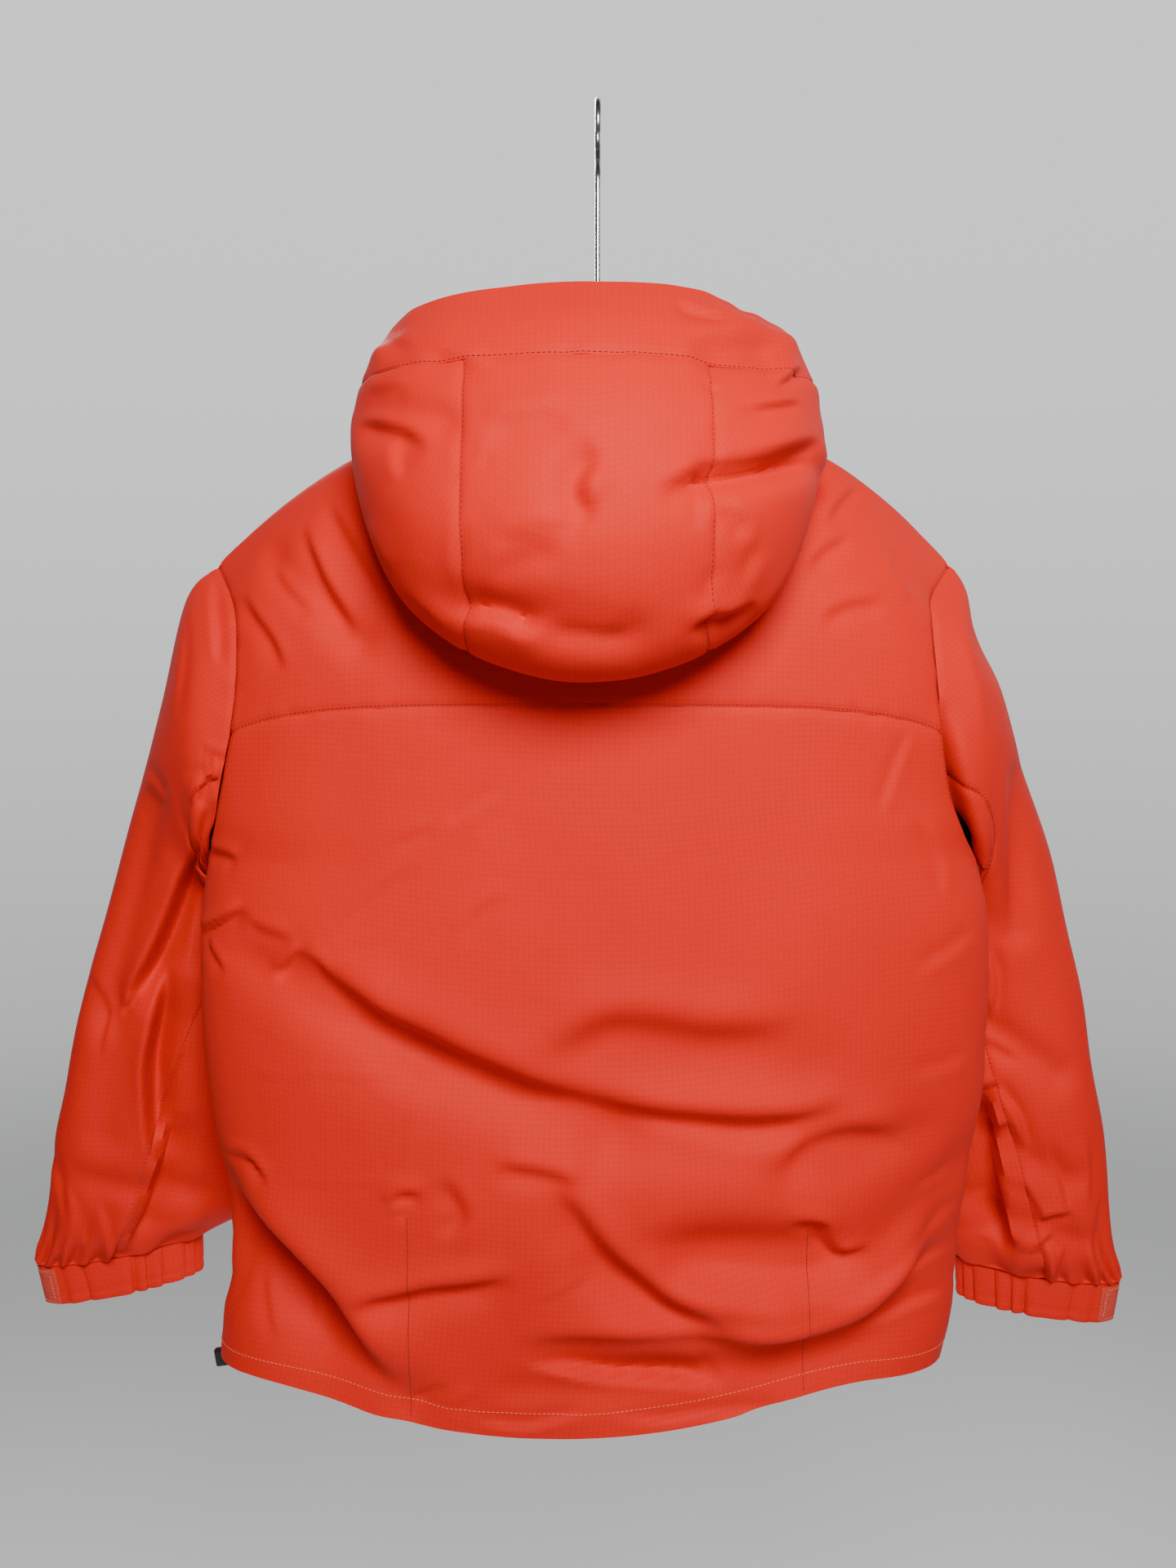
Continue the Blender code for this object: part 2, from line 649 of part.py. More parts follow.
def finish(name, colour, roughness, metallic=0.0):
    material = bpy.data.materials.new(name)
    material.use_nodes = True
    shader = material.node_tree.nodes["Principled BSDF"]
    shader.inputs["Base Color"].default_value = (*colour, 1)
    shader.inputs["Roughness"].default_value = roughness
    shader.inputs["Metallic"].default_value = metallic
    material.diffuse_color = (*colour, 1)
    return material


def new_collection(name):
    collection = bpy.data.collections.new(name)
    bpy.context.scene.collection.children.link(collection)
    return collection


def add(name, data, material, collection, place=(0, 0, 0)):
    piece = bpy.data.objects.new(name, data)
    piece.location = place
    collection.objects.link(piece)
    data.materials.append(material)
    return piece


def add_wall(name, grid, normals, material, collection, closed=False, thickness=CLOTH):
    outer = pulled_back(grid, normals, closed)
    mesh = wall_mesh(name, outer, outer - normals * thickness, closed)
    return add(name, mesh, material, collection)


def box_mesh(name, size, bevel=0.0):
    bpy.ops.mesh.primitive_cube_add(size=1)
    cube = bpy.context.object
    cube.scale = size
    bpy.ops.object.transform_apply(location=False, rotation=False, scale=True)
    if bevel:
        edges = cube.modifiers.new("rounded", "BEVEL")
        edges.width = bevel
        edges.segments = 2
        bpy.ops.object.modifier_apply(modifier=edges.name)
    mesh = cube.data
    mesh.name = name
    mesh.materials.clear()
    bpy.data.objects.remove(cube)
    return mesh


def cut(piece, cutter_mesh, place, cutters):
    """Cuts a block out of a piece. The block stays in the file as a hidden cutter."""
    cutter = bpy.data.objects.new(f"{piece.name}_cutter", cutter_mesh)
    cutter.location = place
    cutters.objects.link(cutter)
    cutter.hide_render = True
    cutter.display_type = "WIRE"
    boolean = piece.modifiers.new("cut", "BOOLEAN")
    boolean.operation = "DIFFERENCE"
    boolean.object = cutter
    return cutter


# Build


def torso_grids():
    back = back_rows()
    return {
        "back_panel": back,
        "back_yoke": yoke_rows(back[-1]),
        "front_left": front_rows(-1),
        "front_right": front_rows(1),
    }


def build_cloth(shell, collection):
    """The torso and the two-piece sleeves, walled on one shared surface."""
    grids = torso_grids()
    sleeves = {"left": sleeve_rows(-1, LEFT_SLEEVE), "right": sleeve_rows(1, RIGHT_SLEEVE)}
    surface = {
        "back_panel": grids["back_panel"],
        "back_yoke": grids["back_yoke"],
        "front_left": grids["front_left"],
        "front_right": grids["front_right"][:, ::-1],
        "left": sleeves["left"][::-1],
        "right": sleeves["right"][::-1, ::-1],
    }
    normals = shared_normals(surface, ("left", "right"))
    for name, sleeve in (("left", LEFT_SLEEVE), ("right", RIGHT_SLEEVE)):
        axis = sleeve_end_axis(sleeve)
        normals[name][0] = unit(normals[name][0] - axis * (normals[name][0] @ axis)[:, None])
    surface = {name: folded(surface[name], normals[name]) for name in surface}
    for name in ("back_panel", "back_yoke", "front_left", "front_right"):
        add_wall(name, surface[name], normals[name], shell, collection)
    columns = 2 * ARMHOLE_ROWS
    under = np.arange(BACK_SEAM_COLUMN, columns - FRONT_SEAM_COLUMN + 1)
    upper = np.arange(columns - FRONT_SEAM_COLUMN, columns + BACK_SEAM_COLUMN + 1) % columns
    for side in ("left", "right"):
        for part, chosen in (("upper", upper), ("under", under)):
            if side == "right":
                chosen = (columns - 1 - chosen)[::-1]
            name = f"sleeve_{part}_{side}"
            add_wall(name, surface[side][:, chosen], normals[side][:, chosen], shell, collection)
    return grids, (surface, normals)


def build_hood(shell, collection, grids):
    """The hood, cut into a centre panel, two sides and the brim."""
    hood = hood_rows(neck_edge(grids))
    normals = shared_normals({"hood": hood}, ())["hood"]
    hood = folded(hood, normals)
    seam = brim_row()
    middle = hood.shape[1] // 2
    reach = HOOD_CENTRE_COLUMNS
    pieces = {
        "hood_side_left": (slice(0, seam + 1), slice(0, middle - reach + 1)),
        "hood_centre": (slice(0, seam + 1), slice(middle - reach, middle + reach + 1)),
        "hood_side_right": (slice(0, seam + 1), slice(middle + reach, None)),
        "hood_brim": (slice(seam, None), slice(None)),
    }
    for name, (rows, columns) in pieces.items():
        add_wall(name, hood[rows, columns], normals[rows, columns], shell, collection)
    return hood, normals


def cuff_rings(sleeve, columns, pleats=True):
    """Outer points of a cuff: rings from the sleeve's end down, pleated but for the patch."""
    last = len(sleeve["half"]) - 1
    middle, half_width, half_depth = section_frame(sleeve, last)
    down = sleeve_end_axis(sleeve)
    turns = np.arange(columns) / columns
    angle = (turns * 2 * math.pi)[:, None]
    counted = np.arange(columns)
    from_edge = np.minimum(counted, columns - counted) * CUFF_COLUMNS / columns
    bare = np.clip((from_edge - PATCH_COLUMNS[1]) / 3, 0, 1)
    beat = CUFF_PLEATS * 2 * math.pi * turns
    wave = 0.5 - 0.5 * np.cos(beat + 0.9 * np.sin(3 * 2 * math.pi * turns))
    rows = []
    for row in range(CUFF_ROWS + 1):
        share = row / CUFF_ROWS
        size = mix(0.985, CUFF_TAPER, share)
        inset = PLEAT_DEPTH * wave * bare if pleats else 0 * wave
        arms = np.cos(angle) * half_width + np.sin(angle) * half_depth
        points = middle + arms * size + down * (2 * SEAM_GAP + CUFF_DROP * share)
        rows.append(points - unit(arms) * inset[:, None])
    return np.array(rows)


def build_cuff(name, sleeve, shell, patch_finish, collection):
    """One gathered cuff, plain inside, and the patch on its outer edge."""
    outer = cuff_rings(sleeve, CUFF_COLUMNS)[::-1]
    plain = cuff_rings(sleeve, CUFF_COLUMNS, pleats=False)[::-1]
    if name == "right":
        outer, plain = outer[:, ::-1], plain[:, ::-1]
    normals = shared_normals({"cuff": plain}, ("cuff",))["cuff"]
    inner = plain - normals * (CLOTH + PLEAT_DEPTH)
    mesh = wall_mesh(f"cuff_{name}", outer, inner, True)
    add(f"cuff_{name}", mesh, shell, collection)
    low, high = PATCH_COLUMNS
    chosen = np.arange(low, high + 1) % CUFF_COLUMNS
    if name == "right":
        chosen = (CUFF_COLUMNS - 1 - chosen)[::-1] % CUFF_COLUMNS
    base = plain[:, chosen] + normals[:, chosen] * SEAM_GAP
    lifted = base + normals[:, chosen] * PATCH
    edge = 0.0012
    for layer in (base, lifted):
        layer[0] += unit(layer[1] - layer[0]) * edge
        layer[-1] += unit(layer[-2] - layer[-1]) * edge
    add(f"cuff_patch_{name}", wall_mesh(f"cuff_patch_{name}", lifted, base, False), patch_finish, collection)


def zip_line(grids, hood):
    """The line of the zip from the hem to the top of the hood's front, in depth and height."""
    front = grids["front_left"][:, 0, 1:]
    return np.concatenate([front[:-1], hood[:, 0, 1:]])


def columns_at_zip(side, torso, hood):
    """The two columns of points nearest the zip, from the hem to the face opening, with their normals."""
    name = "front_left" if side < 0 else "front_right"
    columns = []
    for column in (0, 1) if side < 0 else (-1, -2):
        columns.append([
            np.concatenate([lower[name][:-1, column], upper[:, column]])
            for lower, upper in zip(torso, hood)
        ])
    return columns


def build_tape(side, torso, hood, tape_finish, collection):
    """One tape of the zip, laid against the inside of the panels it is sewn to."""
    (edge, edge_normal), (inside, inside_normal) = columns_at_zip(side, torso, hood)
    edge_normal = unit(edge_normal * (0, 1, 1))
    edge = edge - edge_normal * (CLOTH + TAPE_GAP)
    inside = inside - inside_normal * (CLOTH + TAPE_GAP)
    share = ((TAPE_WIDTH - ZIP_GAP / 2) / np.abs(inside[:, 0] - edge[:, 0]))[:, None]
    middle = edge * (0, 1, 1) + (side * SEAM_GAP / 2, 0, 0)
    outer = np.stack([middle, edge, mix(edge, inside, share)], axis=1)
    normal = np.stack([edge_normal, edge_normal, unit(mix(edge_normal, inside_normal, share))], axis=1)
    inner = outer - normal * TAPE
    if side > 0:
        outer, inner = outer[:, ::-1], inner[:, ::-1]
    name = "zip_tape_left" if side < 0 else "zip_tape_right"
    add(name, wall_mesh(name, outer, inner, False), tape_finish, collection)


def build_slider(line, metal, collection, cutters):
    """The slider at the top of the zip, its bridge, and the pull tab that hangs on the bridge."""
    top = line[-1]
    run = unit(line[-2] - top)
    out = np.array([-run[1], run[0]])
    out = out if out[0] > 0 else -out
    face = top + run * SLIDER_BELOW_TOP - out * (CLOTH + SEAM_GAP)
    centre = face + out * (SEAM_GAP + SLIDER_SIZE[1] / 2)
    tilt = math.atan2(-run[0], -run[1])
    slider = add("zip_slider", box_mesh("zip_slider", SLIDER_SIZE, 0.0008), metal, collection)
    slider.location = (0, *centre)
    slider.rotation_euler = (-tilt, 0, 0)
    pivot = centre + out * (SLIDER_SIZE[1] / 2 + BRIDGE_HOLE[0] / 2)
    arch = bpy.data.objects.new("zip_bridge", box_mesh("zip_bridge", BRIDGE_SIZE, 0.0005))
    arch.location = (0, *(centre + out * (SLIDER_SIZE[1] / 2 + BRIDGE_SIZE[1] / 2 - 0.0002)))
    arch.rotation_euler = (-tilt, 0, 0)
    cutters.objects.link(arch)
    arch.hide_render = True
    arch.display_type = "WIRE"
    union = slider.modifiers.new("bridge", "BOOLEAN")
    union.operation = "UNION"
    union.object = arch
    hole = cut(slider, box_mesh("zip_hole", (0.008, *BRIDGE_HOLE)), (0, *pivot), cutters)
    hole.rotation_euler = (-tilt, 0, 0)
    axis = bpy.data.objects.new("zip_pull_axis", None)
    axis.location = (0, *pivot)
    collection.objects.link(axis)
    tab = add("zip_pull_tab", box_mesh("zip_pull_tab", TAB_SIZE, 0.0004), metal, collection)
    tab.parent = axis
    tab.location = (0, 0, TAB_BAR / 2 - TAB_SIZE[2] / 2)
    window_middle = pivot[1] - TAB_BAR / 2 - TAB_WINDOW[1] / 2
    window = box_mesh("zip_window", (TAB_WINDOW[0], 0.004, TAB_WINDOW[1]))
    cut(tab, window, (0, pivot[0], window_middle), cutters)
    print("zip pull axis at", [round(float(value), 5) for value in pivot])


def build_cord_lock(gloss, collection):
    """A flat square lock with rounded corners, its top just under the hem."""
    z = SIDE["height"][0] - SEAM_GAP - LOCK_SIZE[2] / 2
    add("cord_lock", box_mesh("cord_lock", LOCK_SIZE, LOCK_BEVEL), gloss, collection, (*LOCK_PLACE, z))


def wire(name, points, cyclic, collection):
    """A wire through a smooth run of points, made a mesh so that it can be joined."""
    curve = bpy.data.curves.new(name, "CURVE")
    curve.dimensions = "3D"
    curve.bevel_depth = WIRE_RADIUS
    curve.bevel_resolution = 2
    curve.use_fill_caps = True
    spline = curve.splines.new("POLY")
    spline.points.add(len(points) - 1)
    for point, place in zip(spline.points, points):
        point.co = (*place, 1)
    spline.use_cyclic_u = cyclic
    piece = bpy.data.objects.new(name, curve)
    collection.objects.link(piece)
    bpy.context.view_layer.update()
    graph = bpy.context.evaluated_depsgraph_get()
    mesh = bpy.data.meshes.new_from_object(piece.evaluated_get(graph))
    bpy.data.objects.remove(piece)
    solid = bpy.data.objects.new(name, mesh)
    collection.objects.link(solid)
    bpy.context.view_layer.objects.active = solid
    weld = solid.modifiers.new("welded", "WELD")
    weld.merge_threshold = 0.00002
    return solid


def hook_points():
    """From the tip of the hook, over the rail and down the shank, in the plane of depth and height."""
    middle = -(HOOK_RADIUS - WIRE_RADIUS)
    points = []
    for degrees in range(205, -41, -15):
        angle = math.radians(degrees)
        points.append((0, -HOOK_RADIUS * -math.cos(angle), middle + HOOK_RADIUS * math.sin(angle)))
    elbow = points[-1]
    for share in (0.35, 0.7):
        bend = share * share * (3 - 2 * share)
        points.append((0, mix(elbow[1], 0, bend), mix(elbow[2], SHANK_TOP, share)))
    points.append((0, 0, SHANK_TOP))
    points += [(0, 0, mix(SHANK_TOP, HANGER_NECK - 0.005, share)) for share in (0.25, 0.5, 0.75, 1)]
    return points


def hanger_arm(side):
    """From the neck of the hanger, close under the shoulder seam, round its end and to the bar."""
    seam = top_edge(side, False)[NECK_COLUMNS:, [0, 2]]
    slope = unit(np.gradient(seam, axis=0)) * side
    down = np.stack([slope[:, 1], -slope[:, 0]], axis=-1)
    near_neck = np.clip(1 - np.arange(len(seam)) / 3, 0, 1)[:, None]
    under = seam + down * (CLOTH + WIRE_RADIUS + mix(*HANGER_CLEARANCE, near_neck))
    arm = [(side * x, 0, HANGER_NECK - drop) for x, drop in HANGER_SHOULDERS]
    arm += [(x, 0, z) for x, z in under if abs(x) < HANGER_HALF_WIDTH]
    x, _, z = arm[-1]
    return arm + [(x + side * out, 0, z - drop) for out, drop in HANGER_END]


def hanger_frame():
    """The closed frame under the shoulders, from the left bar end over the neck and back along the bar."""
    left, right = hanger_arm(-1), hanger_arm(1)
    bar = [mix(np.array(right[-1]), np.array(left[-1]), share) for share in (0.25, 0.5, 0.75)]
    return left[::-1] + right + bar


def build_hanger(chrome, collection, cutters):
    hook = wire("hook_wire", hook_points(), False, cutters)
    hook.hide_render = True
    hook.display_type = "WIRE"
    frame = wire("hanger", hanger_frame(), True, collection)
    frame.data.materials.clear()
    frame.data.materials.append(chrome)
    union = frame.modifiers.new("hook", "BOOLEAN")
    union.operation = "UNION"
    union.object = hook


def main():
    for old in list(bpy.data.objects):
        bpy.data.objects.remove(old)
    jacket = new_collection("down_jacket")
    cutters = new_collection("cutters")
    shell = finish("red_shell_cloth", (0.62, 0.045, 0.028), 0.62)
    patch = finish("red_loop_patch", (0.50, 0.040, 0.026), 0.9)
    tape = finish("red_zip_tape", (0.36, 0.030, 0.020), 0.8)
    metal = finish("zip_metal", (0.30, 0.30, 0.31), 0.35, 1.0)
    gloss = finish("black_gloss_plastic", (0.012, 0.012, 0.013), 0.18)
    chrome = finish("chrome_wire", (0.78, 0.78, 0.78), 0.10, 1.0)
    grids, torso = build_cloth(shell, jacket)
    hood = build_hood(shell, jacket, grids)
    for side in (-1, 1):
        build_tape(side, torso, hood, tape, jacket)
    build_cuff("left", LEFT_SLEEVE, shell, patch, jacket)
    build_cuff("right", RIGHT_SLEEVE, shell, patch, jacket)
    build_slider(zip_line(grids, hood[0]), metal, jacket, cutters)
    build_cord_lock(gloss, jacket)
    build_hanger(chrome, jacket, cutters)


main()
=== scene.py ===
# %% [markdown]
# # A hooded down jacket on a wire hanger
# The jacket hangs from a chrome wire hanger and is seen from the back. Its outer cloth is a matte
# ripstop with down behind it, sewn from a back, a yoke, two fronts, two-piece sleeves, gathered cuffs
# and a four-piece hood. Each cloth panel here is a fine grid on one smooth garment surface, with its
# creases, seams and stitching laid over it. The frame gives the bodies, the nodes and the box.

# %% Load the frame
import math

import bpy
import numpy as np
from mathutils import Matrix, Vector


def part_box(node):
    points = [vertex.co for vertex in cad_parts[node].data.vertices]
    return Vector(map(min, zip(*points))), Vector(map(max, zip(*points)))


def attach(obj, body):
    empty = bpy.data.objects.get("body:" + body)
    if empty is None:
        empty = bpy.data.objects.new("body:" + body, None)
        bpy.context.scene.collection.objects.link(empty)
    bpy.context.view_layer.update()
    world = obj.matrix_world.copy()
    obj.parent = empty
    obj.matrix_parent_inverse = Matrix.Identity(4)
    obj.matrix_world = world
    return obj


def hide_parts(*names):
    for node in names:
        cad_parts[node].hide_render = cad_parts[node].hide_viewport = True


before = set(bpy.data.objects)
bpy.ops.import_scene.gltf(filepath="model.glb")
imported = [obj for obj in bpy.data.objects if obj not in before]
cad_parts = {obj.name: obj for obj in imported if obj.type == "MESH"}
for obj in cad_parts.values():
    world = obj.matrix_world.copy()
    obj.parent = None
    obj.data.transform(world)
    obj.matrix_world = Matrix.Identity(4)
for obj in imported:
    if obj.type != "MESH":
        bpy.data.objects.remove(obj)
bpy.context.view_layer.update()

bpy.ops.object.select_all(action="DESELECT")

# %% [markdown]
# ## Where we look from
# The photograph is taken from about a metre behind the jacket, a little above its middle and tilted
# down a few degrees. A lens is easiest to match as a focal length on a sensor of fixed height.

# %% Camera
SENSOR_HEIGHT = 24
FOCAL_LENGTH = 21.25
CAMERA_PLACE = (-0.0073, -1.071, -0.4017)
CAMERA_DOWN = 5.5


def placed(name, data):
    """Puts a camera, a lamp, a mesh or a curve into the scene under its name."""
    made = bpy.data.objects.new(name, data)
    bpy.context.scene.collection.objects.link(made)
    return made


camera_data = bpy.data.cameras.new("camera")
camera_data.sensor_fit = "VERTICAL"
camera_data.sensor_height = SENSOR_HEIGHT
camera_data.lens = FOCAL_LENGTH
camera = placed("camera", camera_data)
camera.location = CAMERA_PLACE
camera.rotation_euler = (math.radians(90 - CAMERA_DOWN), 0, 0)
bpy.context.scene.camera = camera
print("camera at", CAMERA_PLACE)

# %% [markdown]
# ## Light
# Folds show when light rakes over them. A broad key light above the camera does that for the back, a
# second one for the front, and a weak one from the side lifts the right sleeve. All three are soft, so
# no fold throws a hard shadow.

# %% Lights
CHEST = (0, 0, -0.55)


def soft_light(name, place, size, power):
    """A round soft light aimed at the chest."""
    light = bpy.data.lights.new(name, "AREA")
    light.shape = "DISK"
    light.size = size
    light.energy = power
    lamp = placed(name, light)
    lamp.location = place
    aim = Vector(CHEST) - Vector(place)
    lamp.rotation_euler = aim.to_track_quat("-Z", "Y").to_euler()


soft_light("key", (0.2, -1.6, 0.5), 0.9, 60)
soft_light("front_key", (-0.3, 1.6, 0.55), 0.7, 46)
soft_light("rim", (2.2, 1.0, 0.6), 1.2, 8)
print("three soft lights aimed at", CHEST)

# %% [markdown]
# ## Adding nodes
# A material or a backdrop is a tree of nodes. One helper adds a node with its settings, links and
# values, so each step below is a line. The two others are soft slopes and ramps of grey.

# %% Node helpers
def node(tree, kind, links=(), values=(), **settings):
    """Adds a node: its settings, then the links into its sockets, then their plain values."""
    made = tree.nodes.new(kind)
    for name, setting in settings.items():
        setattr(made, name, setting)
    for socket, source in dict(links).items():
        tree.links.new(source, made.inputs[socket])
    for socket, value in dict(values).items():
        made.inputs[socket].default_value = value
    return made


def eased_range(tree, source, low, high):
    """0 below the low value, 1 above the high one, and a soft slope between them."""
    ends = {"From Min": low, "From Max": high}
    made = node(tree, "ShaderNodeMapRange", {"Value": source}, ends, interpolation_type="SMOOTHSTEP")
    return made.outputs["Result"]


def greys(tree, source, *stops):
    """A ramp of cool greys, each stop a place and a brightness."""
    made = node(tree, "ShaderNodeValToRGB", {"Fac": source})
    marks = made.color_ramp.elements
    marks.remove(marks[0])
    for index, (place, grey) in enumerate(stops):
        mark = marks.new(place) if index else marks[0]
        mark.position = place
        mark.color = (grey, grey * 1.01, grey * 1.02, 1)
    return made.outputs["Color"]


world = bpy.data.worlds.new("studio")
world.use_nodes = True
sky = world.node_tree
print("the world starts with", len(sky.nodes), "nodes")

# %% [markdown]
# ## Backdrop
# The backdrop is the world itself, pale on the far side of the jacket and dim on the near side, because
# more light from there would fill the folds and flatten them. A sheet of paper behind the jacket would
# look the same, but it would hide the front.

# %% Backdrop
FAR_SIDE = (0.25, 0.8)
RISING = (-0.6, 0.3)

direction = node(sky, "ShaderNodeTexCoord").outputs["Generated"]
parts = node(sky, "ShaderNodeSeparateXYZ", {"Vector": direction}).outputs
dim = greys(sky, parts["Z"], (0.0, 0.15), (0.22, 0.25), (1.0, 0.065))
pale = greys(sky, eased_range(sky, parts["Z"], *RISING), (0.0, 0.36), (1.0, 0.98))
sides = {"Factor": eased_range(sky, parts["Y"], *FAR_SIDE), "A": dim, "B": pale}
backdrop = node(sky, "ShaderNodeMix", sides, data_type="RGBA").outputs["Result"]
sky.links.new(backdrop, sky.nodes["Background"].inputs["Color"])
bpy.context.scene.world = world
print("a backdrop of", len(sky.nodes), "nodes")

# %% [markdown]
# ## Floor
# The floor lies well below the hem. It is plain and pale, and it fades out a few metres away, so that
# it runs into the backdrop with no horizon line.

# %% Floor
FLOOR_HEIGHT = -1.9
FLOOR_SIZE = 40
FLOOR_FADE = (1.0, 5.0)


def plain_shader(name, colour, roughness, metallic=0.0):
    """A material with one colour, its node tree and its shader, ready for more nodes."""
    material = bpy.data.materials.new(name)
    material.use_nodes = True
    shader = material.node_tree.nodes["Principled BSDF"]
    shader.inputs["Base Color"].default_value = (*colour, 1)
    shader.inputs["Roughness"].default_value = roughness
    shader.inputs["Metallic"].default_value = metallic
    material.diffuse_color = (*colour, 1)
    return material, material.node_tree, shader


bpy.ops.mesh.primitive_plane_add(size=FLOOR_SIZE, location=(0, 0, FLOOR_HEIGHT))
floor = bpy.context.object
floor.name = "floor"
bpy.ops.object.transform_apply(location=True, rotation=True, scale=True)
paint, tree, shader = plain_shader("pale_floor", (0.66, 0.67, 0.68), 0.7)
place = node(tree, "ShaderNodeTexCoord").outputs["Object"]
reach = node(tree, "ShaderNodeVectorMath", {0: place}, {1: (0, 0, FLOOR_HEIGHT)}, operation="DISTANCE")
fade = eased_range(tree, reach.outputs["Value"], *FLOOR_FADE)
clear = node(tree, "ShaderNodeBsdfTransparent").outputs["BSDF"]
faded = node(tree, "ShaderNodeMixShader", {"Fac": fade, 1: shader.outputs["BSDF"], 2: clear})
tree.links.new(faded.outputs["Shader"], tree.nodes["Material Output"].inputs["Surface"])
floor.data.materials.append(paint)
print("floor at", FLOOR_HEIGHT)

# %% [markdown]
# ## The size tables
# The garment surface comes from a few measured lines: side seams, armholes, the middle of the back and
# front, the sleeve sections and the hood lines. They are the same numbers as the solids have, so the
# cloth lies on them. Tables are written as text, one row a line, which is easy to read and to change.

# %% Torso sizes
NECK_COLUMNS = 4
SHOULDER_COLUMNS = 7
SIDE_ROWS = 12
LOWER_ARMHOLE_ROWS = 4
YOKE_ROWS = 7
ARMHOLE_ROWS = LOWER_ARMHOLE_ROWS + YOKE_ROWS
HALF_COLUMNS = NECK_COLUMNS + SHOULDER_COLUMNS
NECK_SHARE = NECK_COLUMNS / HALF_COLUMNS
NECK_HALF_WIDTH = 0.088
NECK_SIDE_HEIGHT = -0.227
BACK_NECK = (-0.058, -0.222)
FRONT_NECK = (0.093, -0.290)
SHOULDER_ROUNDING = 2.2
ZIP_GAP = 0.013
WALL = 0.0019
SOLID_WALL = 0.003
BACK_ROUNDING = 2.2
FRONT_ROUNDING = 1.9
ARMHOLE_TURN = 26
NECK_FULLNESS = {"back": 0.35, "front": 0.15}


def rows_of(text):
    """The lines of a text table, each as a list of numbers."""
    return [[float(word) for word in line.split()] for line in text.strip().splitlines()]


def table(columns, text):
    """A table by columns: each column's name, and its value in every row."""
    return dict(zip(columns.split(), np.array(rows_of(text)).T))


SIDE = table("height left right depth", """
-0.952 -0.2965 0.2710 -0.020
-0.917 -0.2935 0.2785 -0.020
-0.884 -0.2870 0.2800 -0.020
-0.837 -0.2865 0.2830 -0.020
-0.784 -0.2935 0.2905 -0.020
-0.719 -0.3010 0.2985 -0.020
-0.655 -0.3035 0.2995 -0.020
-0.600 -0.3020 0.2970 -0.019
-0.560 -0.2970 0.2890 -0.015
""")
ARMHOLE = table("height left right back front scoop", """
-0.560 -0.2970 0.2890 -0.015 -0.015 0.000
-0.535 -0.2880 0.2740 -0.040  0.018 0.002
-0.505 -0.2800 0.2610 -0.052  0.038 0.006
-0.462 -0.2690 0.2520 -0.060  0.052 0.010
-0.416 -0.2640 0.2470 -0.057  0.054 0.010
-0.371 -0.2690 0.2460 -0.039  0.039 0.006
-0.337 -0.2900 0.2690  0.000  0.000 0.000
""")
YOKE_END = 3
BACK_LIFT = (0.001, 0.001, 0.000, 0.000, 0.000, 0.002, 0.008, 0.0215)
BACK_DEPTH = (-0.105, -0.108, -0.112, -0.113, -0.110, -0.105, -0.102, -0.100)
TAIL_DROP = 0.026
TAIL_SHARE = (0.72, 0.56)
TAIL_ROWS = 3.0
FRONT_LIFT = (0.001, 0.000, 0.000, 0.000, 0.000, 0.000)
FRONT_DEPTH = (0.092, 0.098, 0.101, 0.101, 0.099, 0.097)
print("torso table of", len(SIDE["height"]), "and", len(ARMHOLE["height"]), "rows")

# %% [markdown]
# ## Sleeves and hood in numbers
# A sleeve is a run of oval sections from the armhole to the cuff. Each row has the outer and the inner
# end of one section and half its thickness. The hood is a run of U-shaped lines from the neckline to
# the face opening: each row has the middle of its back, its widest side point and its front end.

# %% Sleeve and hood sizes
SLEEVE_COLUMNS = "outer_x outer_y outer_z inner_x inner_y inner_z half"
SLEEVES = {
    "left": table(SLEEVE_COLUMNS, """
         -0.290 0.000 -0.337 -0.297 -0.015 -0.560 0.057
         -0.315 0.004 -0.362 -0.304  0.004 -0.574 0.060
        -0.3375 0.012 -0.440 -0.300  0.042 -0.592 0.060
        -0.3655 0.020 -0.523 -0.284  0.076 -0.616 0.056
         -0.397 0.028 -0.625 -0.262  0.102 -0.668 0.052
         -0.428 0.034 -0.731 -0.262  0.110 -0.758 0.049
         -0.446 0.040 -0.820 -0.270  0.110 -0.835 0.046
         -0.459 0.046 -0.883 -0.288  0.106 -0.876 0.041
         -0.470 0.052 -0.914 -0.341  0.094 -0.902 0.026
    """),
    "right": table(SLEEVE_COLUMNS, """
         0.269 0.000 -0.337 0.289 -0.015 -0.560 0.057
        0.2920 0.004 -0.366 0.299  0.006 -0.577 0.060
        0.3175 0.012 -0.444 0.295  0.042 -0.592 0.060
        0.3475 0.020 -0.531 0.280  0.076 -0.618 0.056
        0.3755 0.028 -0.625 0.256  0.102 -0.670 0.052
        0.3985 0.034 -0.724 0.256  0.110 -0.760 0.049
        0.4180 0.040 -0.822 0.264  0.110 -0.840 0.046
        0.4290 0.046 -0.896 0.282  0.106 -0.896 0.041
        0.4400 0.052 -0.929 0.311  0.094 -0.924 0.026
    """),
}
SLEEVE_FADE = 2.6
BACK_SEAM_COLUMN = 8
FRONT_SEAM_COLUMN = 9
BACK_SEAM_DEGREES = (110, 108, 104, 98, 91, 79, 72, 70, 84)
FRONT_SEAM_ANGLE = math.radians(112)
CUFF_DROP = 0.034
CUFF_TAPER = 0.94
